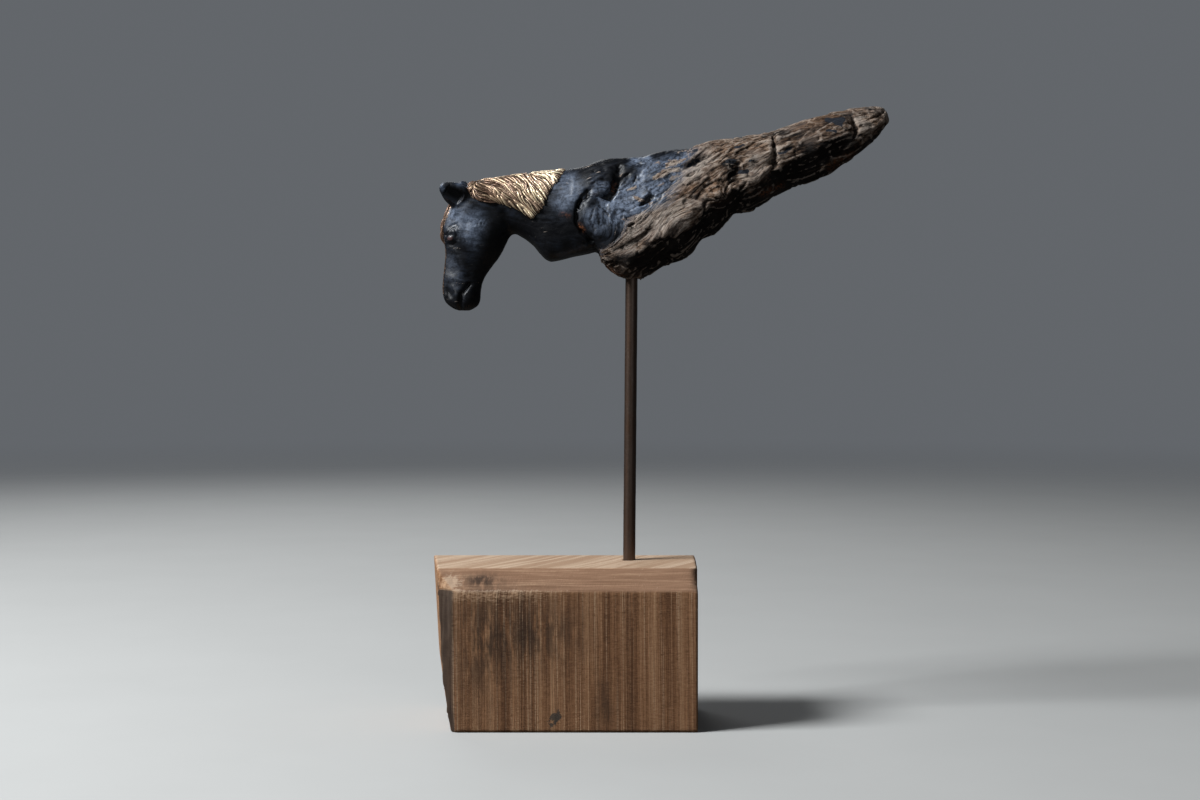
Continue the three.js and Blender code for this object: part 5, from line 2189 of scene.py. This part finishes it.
@dataclass
class TimberBlock:
    """The block of old timber: the solid's faces with worn edges, raised grain and its knocks."""

    effects: Effects
    voxel: float = 0.95
    edge: float = 0.16
    pith: Pair = (-350.0, 190.0)
    smallest_face: float = 9.0
    near_bore: float = 4.2
    bore_radius: float = 3.3
    bore_rim: float = 6.0
    hollow_turns: int = 4
    chip: Spot = Spot(-57.5, 70, 5.5, 3.6, 0.5)
    lifted: Spot = Spot(-40, 65.6, 16, 1.6, 0.4)
    knocked: Spot = Spot(57.5, 71, 2.2, 4, 0.6)
    front_stains: tuple[Spot, ...] = (
        Spot(-18, 46, 20, 17, 0.9, wander=1), Spot(14, 12, 4, 14, 0.7, wander=1), Spot(-44, 42, 12, 30, 0.8),
    )
    edge_stains: tuple[Spot, ...] = (Spot(-43, 71, 9, 2.2, 1.2, wander=1), Spot(57.5, 71, 2.2, 5, 1.2))
    fresh_wood: Spot = Spot(-58.5, 69.5, 5, 3.2, 1.2, wander=0.4)
    teal_spots: Spot = Spot(-10, 6, 2.2, 7, 0.8, wander=1.4)

    def planes(self, surface: Surface) -> Points:
        """Finds the flat faces of the solid.

        Args:
            surface: The solid.

        Returns:
            For each face its outward direction and its distance from the origin.
        """
        found: list[np.ndarray] = []
        for face in surface.faces:
            a, b, c = (surface.points[n] for n in face[:3])
            normal = np.cross(b - a, c - a)
            area = np.linalg.norm(normal) / 2
            if area < self.smallest_face:
                continue
            normal = normal / (2 * area)
            plane = np.append(normal, normal @ a)
            sticks_out = (surface.points @ normal - plane[3]).max() > 0.3
            if not sticks_out and not any(np.dot(normal, other[:3]) > 0.9995 for other in found):
                found.append(plane)
        return np.array(found)

    def rings(self, points: Points) -> Points:
        """Places among the growth rings.

        Args:
            points: Places in millimetres.

        Returns:
            Distance from the pith, distance round it, and height.
        """
        x, y, z = points.T
        sway = 0.8 * noise(x / 60, y / 60, z / 70) + 0.1 * noise(x / 14, y / 14, z / 60)
        from_x, from_y = x - self.pith[0], y - self.pith[1]
        radius = np.hypot(from_x, from_y)
        return np.stack([radius + sway, radius * np.arctan2(from_y, from_x), z], axis=1)

    def settle(self, points: Points, planes: Points) -> tuple[Points, Points]:
        """Pulls points onto the planes, with the edges between them rounded.

        Args:
            points: Places near the solid.
            planes: Its flat faces.

        Returns:
            The places and the outward directions there.
        """
        moved = points.copy()
        for _ in range(4):
            away = moved @ planes[:, :3].T - planes[:, 3]
            most = away.max(1, keepdims=True)
            pull = np.exp((away - most) / self.edge)
            distance = most[:, 0] + self.edge * np.log(pull.sum(1))
            outward = (pull @ planes[:, :3]) / pull.sum(1)[:, None]
            outward /= np.linalg.norm(outward, axis=1)[:, None]
            moved -= outward * distance[:, None]
        return moved, outward

    def build(self) -> bpy.types.Object:
        """Builds and dresses the block.

        Returns:
            The piece.
        """
        solid = copy_of("timber_block")
        planes = self.planes(solid)
        fine = remeshed(solid, self.voxel)
        foot, _, axis = rod_ends()
        along = (fine.points - foot) @ axis
        radial = fine.points - foot - along[:, None] * axis
        from_axis = np.linalg.norm(radial, axis=1)
        in_bore = (from_axis < self.near_bore) & (along < solid.points[:, 2].max() - foot[2] - 0.6)
        wall = np.where(in_bore & (along > 0.2))[0]
        settled, outward = self.settle(fine.points, planes)
        settled[in_bore] = fine.points[in_bore]
        aside = radial[wall] / np.maximum(from_axis[wall], 1e-6)[:, None]
        settled[wall] = foot + along[wall][:, None] * axis + self.bore_radius * aside
        faces = self.face_masks(outward)
        height = self.relief(settled, outward, faces)
        height[from_axis < self.bore_rim] = 0.0
        fine.points = settled + outward * height[:, None]
        sunk = ((fine.smoothed(self.hollow_turns) - fine.points) * outward).sum(1)
        # Inside the bore the hollow value is set to 0.6, so that it is darkened there as painted shade.
        hollow = np.where(in_bore, 0.6, np.clip(2.5 * sunk, 0, 1))
        stained, torn, teal = self.stains(fine.points)
        mesh = mesh_from("old_timber", Surface(fine.points * MM, fine.faces))
        add_attribute(mesh, "ring", self.rings(fine.points))
        add_attribute(mesh, "face", triples(faces[Face.BEVEL], faces[Face.TOP], faces[Face.WANE]))
        add_attribute(mesh, "dirt", triples(hollow, stained, teal))
        add_attribute(mesh, "torn", triples(torn))
        return link_piece("old_timber", mesh, TimberFinish(self.effects).material(), "timber_block")

    def face_masks(self, outward: Points) -> dict[Face, Values]:
        """Tells the parts of the surface apart by the way that they face.

        Args:
            outward: The outward direction at each point.

        Returns:
            For each part, 1 on it and 0 off it.
        """
        nx, ny, nz = outward.T
        return {
            Face.BEVEL: smoothstep(0.35, 0.5, nz) * smoothstep(0.9, 0.8, nz) * smoothstep(-0.3, -0.5, ny),
            Face.TOP: smoothstep(0.85, 0.95, np.abs(nz)),
            Face.WANE: smoothstep(-0.3, -0.5, nx) * smoothstep(-0.15, -0.3, ny) * smoothstep(0.3, 0.2, nz),
        }

    def relief(self, points: Points, outward: Points, faces: dict[Face, Values]) -> Values:
        """Raised grain on the long faces, a rough wane, and knocks at both ends of the bevel.

        Args:
            points: Places on the surface.
            outward: The outward directions there.
            faces: Which part of the surface each point is on.

        Returns:
            Heights in millimetres.
        """
        x, y, z = points.T
        radius, around, _ = self.rings(points).T
        long_face = (1 - faces[Face.TOP]) * (1 - faces[Face.BEVEL])
        raised = 0.05 * noise(radius / 1.1, around / 60, z / 90)
        raised = raised + 0.09 * noise(radius / 3.4, around / 90, z / 120)
        rough = faces[Face.WANE] * (0.7 * noise(x / 6, y / 6, z / 12) + 0.5 * noise(x / 2.4, y / 2.4, z / 8))
        splinter = 1 + 0.7 * noise(x / 2.6, y / 2.6, z / 1.4)
        sawn = faces[Face.BEVEL] * 0.08 * noise(x / 30, y / 1.3, z / 1.3)
        worn = -0.15 * (1 - np.abs(outward).max(1))
        split_off = self.chip.at(x, z) * (y < -20) + self.lifted.at(x, z) * (y < -26)
        lows = split_off * splinter + self.knocked.at(x, z) * (y < -18)
        return long_face * raised + rough + sawn + worn - lows

    def stains(self, points: Points) -> tuple[Values, Values, Values]:
        """The marks of age on the block's front.

        Args:
            points: Places on the surface.

        Returns:
            Dark stains on the front and along its top, pale torn wood over them and at the chip, and
            teal spots at the foot.
        """
        x, y, z = points.T
        on_front = smoothstep(-26, -29, y)
        on_edge = y < -20
        stray = 3.0 * noise(x / 7, y / 7, z / 7) + 1.4 * noise(x / 2.5, y / 2.5, z / 2.5)
        stained = sum(spot.at(x, z, stray) for spot in self.front_stains) * on_front
        stained = stained + sum(spot.at(x, z, stray) for spot in self.edge_stains) * on_edge
        top_edge = smoothstep(57 + stray, 64, z) * smoothstep(67.2, 66.2, z) * smoothstep(10, -25, x)
        torn = 0.6 * top_edge * on_front + self.fresh_wood.at(x, z, stray) * on_edge
        teal = self.teal_spots.at(x, z, stray) * on_front
        return np.clip(stained, 0, 1), np.clip(torn, 0, 1), np.clip(teal, 0, 1)


@dataclass
class SteelRod:
    """The rod, turned from its solid's own ends, with a slightly uneven skin."""

    sides: int = 64
    rings: int = 150
    uneven: float = 0.035
    chamfer: float = 0.3

    def build(self) -> bpy.types.Object:
        """Builds and dresses the rod.

        Returns:
            The piece.
        """
        foot, head, axis = rod_ends()
        length = np.linalg.norm(head - foot)
        radius = np.ptp(copy_of("steel_rod").points[:, 1]) / 2
        across = np.cross(axis, (0, 1, 0))
        across /= np.linalg.norm(across)
        beside = np.cross(axis, across)
        along = np.concatenate([[0], np.linspace(self.chamfer, length - self.chamfer, self.rings), [length]])
        angle = np.linspace(0, 2 * math.pi, self.sides, endpoint=False)
        s, a = np.meshgrid(along, angle, indexing="ij")
        skin = radius - self.uneven * (1 + noise(s / 6, 2 * np.cos(a), 2 * np.sin(a)))
        skin[0] -= self.chamfer
        skin[-1] -= self.chamfer
        circle = np.cos(a)[..., None] * across + np.sin(a)[..., None] * beside
        points = (foot + s[..., None] * axis + skin[..., None] * circle).reshape(-1, 3)
        faces = [tuple(reversed(range(self.sides))), tuple(range(len(points) - self.sides, len(points)))]
        for ring in range(len(along) - 1):
            for side in range(self.sides):
                nxt = (side + 1) % self.sides
                low, high = ring * self.sides, (ring + 1) * self.sides
                faces.append((low + side, low + nxt, high + nxt, high + side))
        mesh = mesh_from("patinated_rod", Surface(points * MM, faces))
        return link_piece("patinated_rod", mesh, SteelFinish().material(), "steel_rod")


# Floor, light and camera


@dataclass(frozen=True)
class Lamp:
    """A square lamp: where it hangs in metres, the length of its sides, its power in watts and its colour."""

    name: str
    place: tuple[float, float, float]
    size: float
    power: float
    colour: Colour


@dataclass(frozen=True)
class Studio:
    """A pale floor, soft light from the upper left, and the camera at the photograph's place."""

    camera_place: tuple[float, float, float] = (0.012, -0.959, 0.1875)
    pitch_down: float = 2.0
    focal: float = 60.0
    sensor: float = 36.0
    floor_size: float = 14.0
    floor_colour: Colour = (0.50, 0.50, 0.49)
    bounce_share: float = 0.14
    fade: Pair = (0.7, 2.6)
    sky: Colour = (0.20, 0.215, 0.235)
    sky_seen: float = 0.62
    sky_light: float = 0.2
    floor_height: float = -0.0002
    aim: tuple[float, float, float] = (0.02, 0.0, 0.19)
    lamps: tuple[Lamp, ...] = (
        Lamp("key", (-1.2, -0.46, 1.25), 0.6, 50.0, (0.95, 0.98, 1.0)),
        Lamp("fill", (0.7, -1.6, 0.6), 1.2, 1.6, (0.94, 0.97, 1.0)),
        Lamp("back", (-0.4, 1.3, 0.9), 0.8, 4.0, (0.96, 0.98, 1.0)),
    )

    def floor(self) -> None:
        """Lays the floor just under the block."""
        half = self.floor_size / 2
        mesh = bpy.data.meshes.new("floor")
        outline = ((-half, -half), (half, -half), (half, half), (-half, half))
        mesh.from_pydata([(x, y, self.floor_height) for x, y in outline], [], [(0, 1, 2, 3)])
        material, graph, shader = new_material("floor", Roughness=0.9, Specular_IOR_Level=0.1)
        place = graph.millimetres()
        cloud = graph.noise(place, scale=0.01, detail=3, rough=0.6)
        darker = tuple(0.93 * c for c in self.floor_colour)
        pale = graph.mix_colour(cloud, darker, self.floor_colour)
        dim = tuple(self.bounce_share * c for c in self.floor_colour)
        seen = graph.add("ShaderNodeLightPath").outputs["Is Camera Ray"]
        graph.feed(shader.inputs["Base Color"], graph.mix_colour(seen, dim, pale))
        away = graph.add("ShaderNodeVectorMath", {0: place}, operation="LENGTH").outputs["Value"]
        graph.feed(shader.inputs["Alpha"], graph.step(away, self.fade[1] / MM, self.fade[0] / MM))
        mesh.materials.append(material)
        floor = bpy.data.objects.new("floor", mesh)
        bpy.context.scene.collection.objects.link(floor)

    def hang(self, lamp: Lamp) -> None:
        """Hangs a lamp that points at the carving.

        Args:
            lamp: The lamp.
        """
        light = bpy.data.lights.new(lamp.name, "AREA")
        light.size, light.energy, light.color = lamp.size, lamp.power, lamp.colour
        hung = bpy.data.objects.new(lamp.name, light)
        hung.location = lamp.place
        x, y, z = np.array(self.aim) - np.array(lamp.place)
        hung.rotation_euler = (math.atan2(math.hypot(x, y), -z), 0.0, math.atan2(-x, y))
        bpy.context.scene.collection.objects.link(hung)

    def lights(self) -> None:
        """Hangs the lamps and sets the pale surroundings."""
        world = bpy.data.worlds.new("studio")
        world.use_nodes = True
        graph = Graph(world.node_tree)
        background = world.node_tree.nodes["Background"]
        background.inputs["Color"].default_value = opaque(self.sky)
        seen = graph.add("ShaderNodeLightPath").outputs["Is Camera Ray"]
        graph.feed(background.inputs["Strength"], graph.mix_value(seen, self.sky_light, self.sky_seen))
        bpy.context.scene.world = world
        for lamp in self.lamps:
            self.hang(lamp)

    def camera(self) -> None:
        """Sets the camera up."""
        lens = bpy.data.cameras.new("camera")
        lens.lens = self.focal
        lens.sensor_width = self.sensor
        lens.sensor_fit = "HORIZONTAL"
        lens.clip_start = 0.01
        camera = bpy.data.objects.new("camera", lens)
        camera.location = self.camera_place
        camera.rotation_euler = (math.radians(90 - self.pitch_down), 0.0, 0.0)
        bpy.context.scene.collection.objects.link(camera)
        bpy.context.scene.camera = camera

    def build(self) -> None:
        """Builds the whole studio."""
        self.floor()
        self.lights()
        self.camera()
        bpy.context.scene.view_settings.view_transform = "Standard"


def main() -> None:
    """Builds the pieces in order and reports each."""
    logging.basicConfig(level=logging.INFO, format="%(name)s: %(message)s")
    Studio().build()
    effects = Effects()
    carving = CarvedDriftwood(effects)
    makers: list[Callable[[], bpy.types.Object]] = [
        TimberBlock(effects).build,
        SteelRod().build,
        carving.build,
        HairLocks(carving.form, carving.seat).build,
    ]
    for make in makers:
        piece = make()
        piece.data.calc_loop_triangles()
        log.info("%s: %d triangles", piece.name, len(piece.data.loop_triangles))


if __name__ == "__main__":
    main()
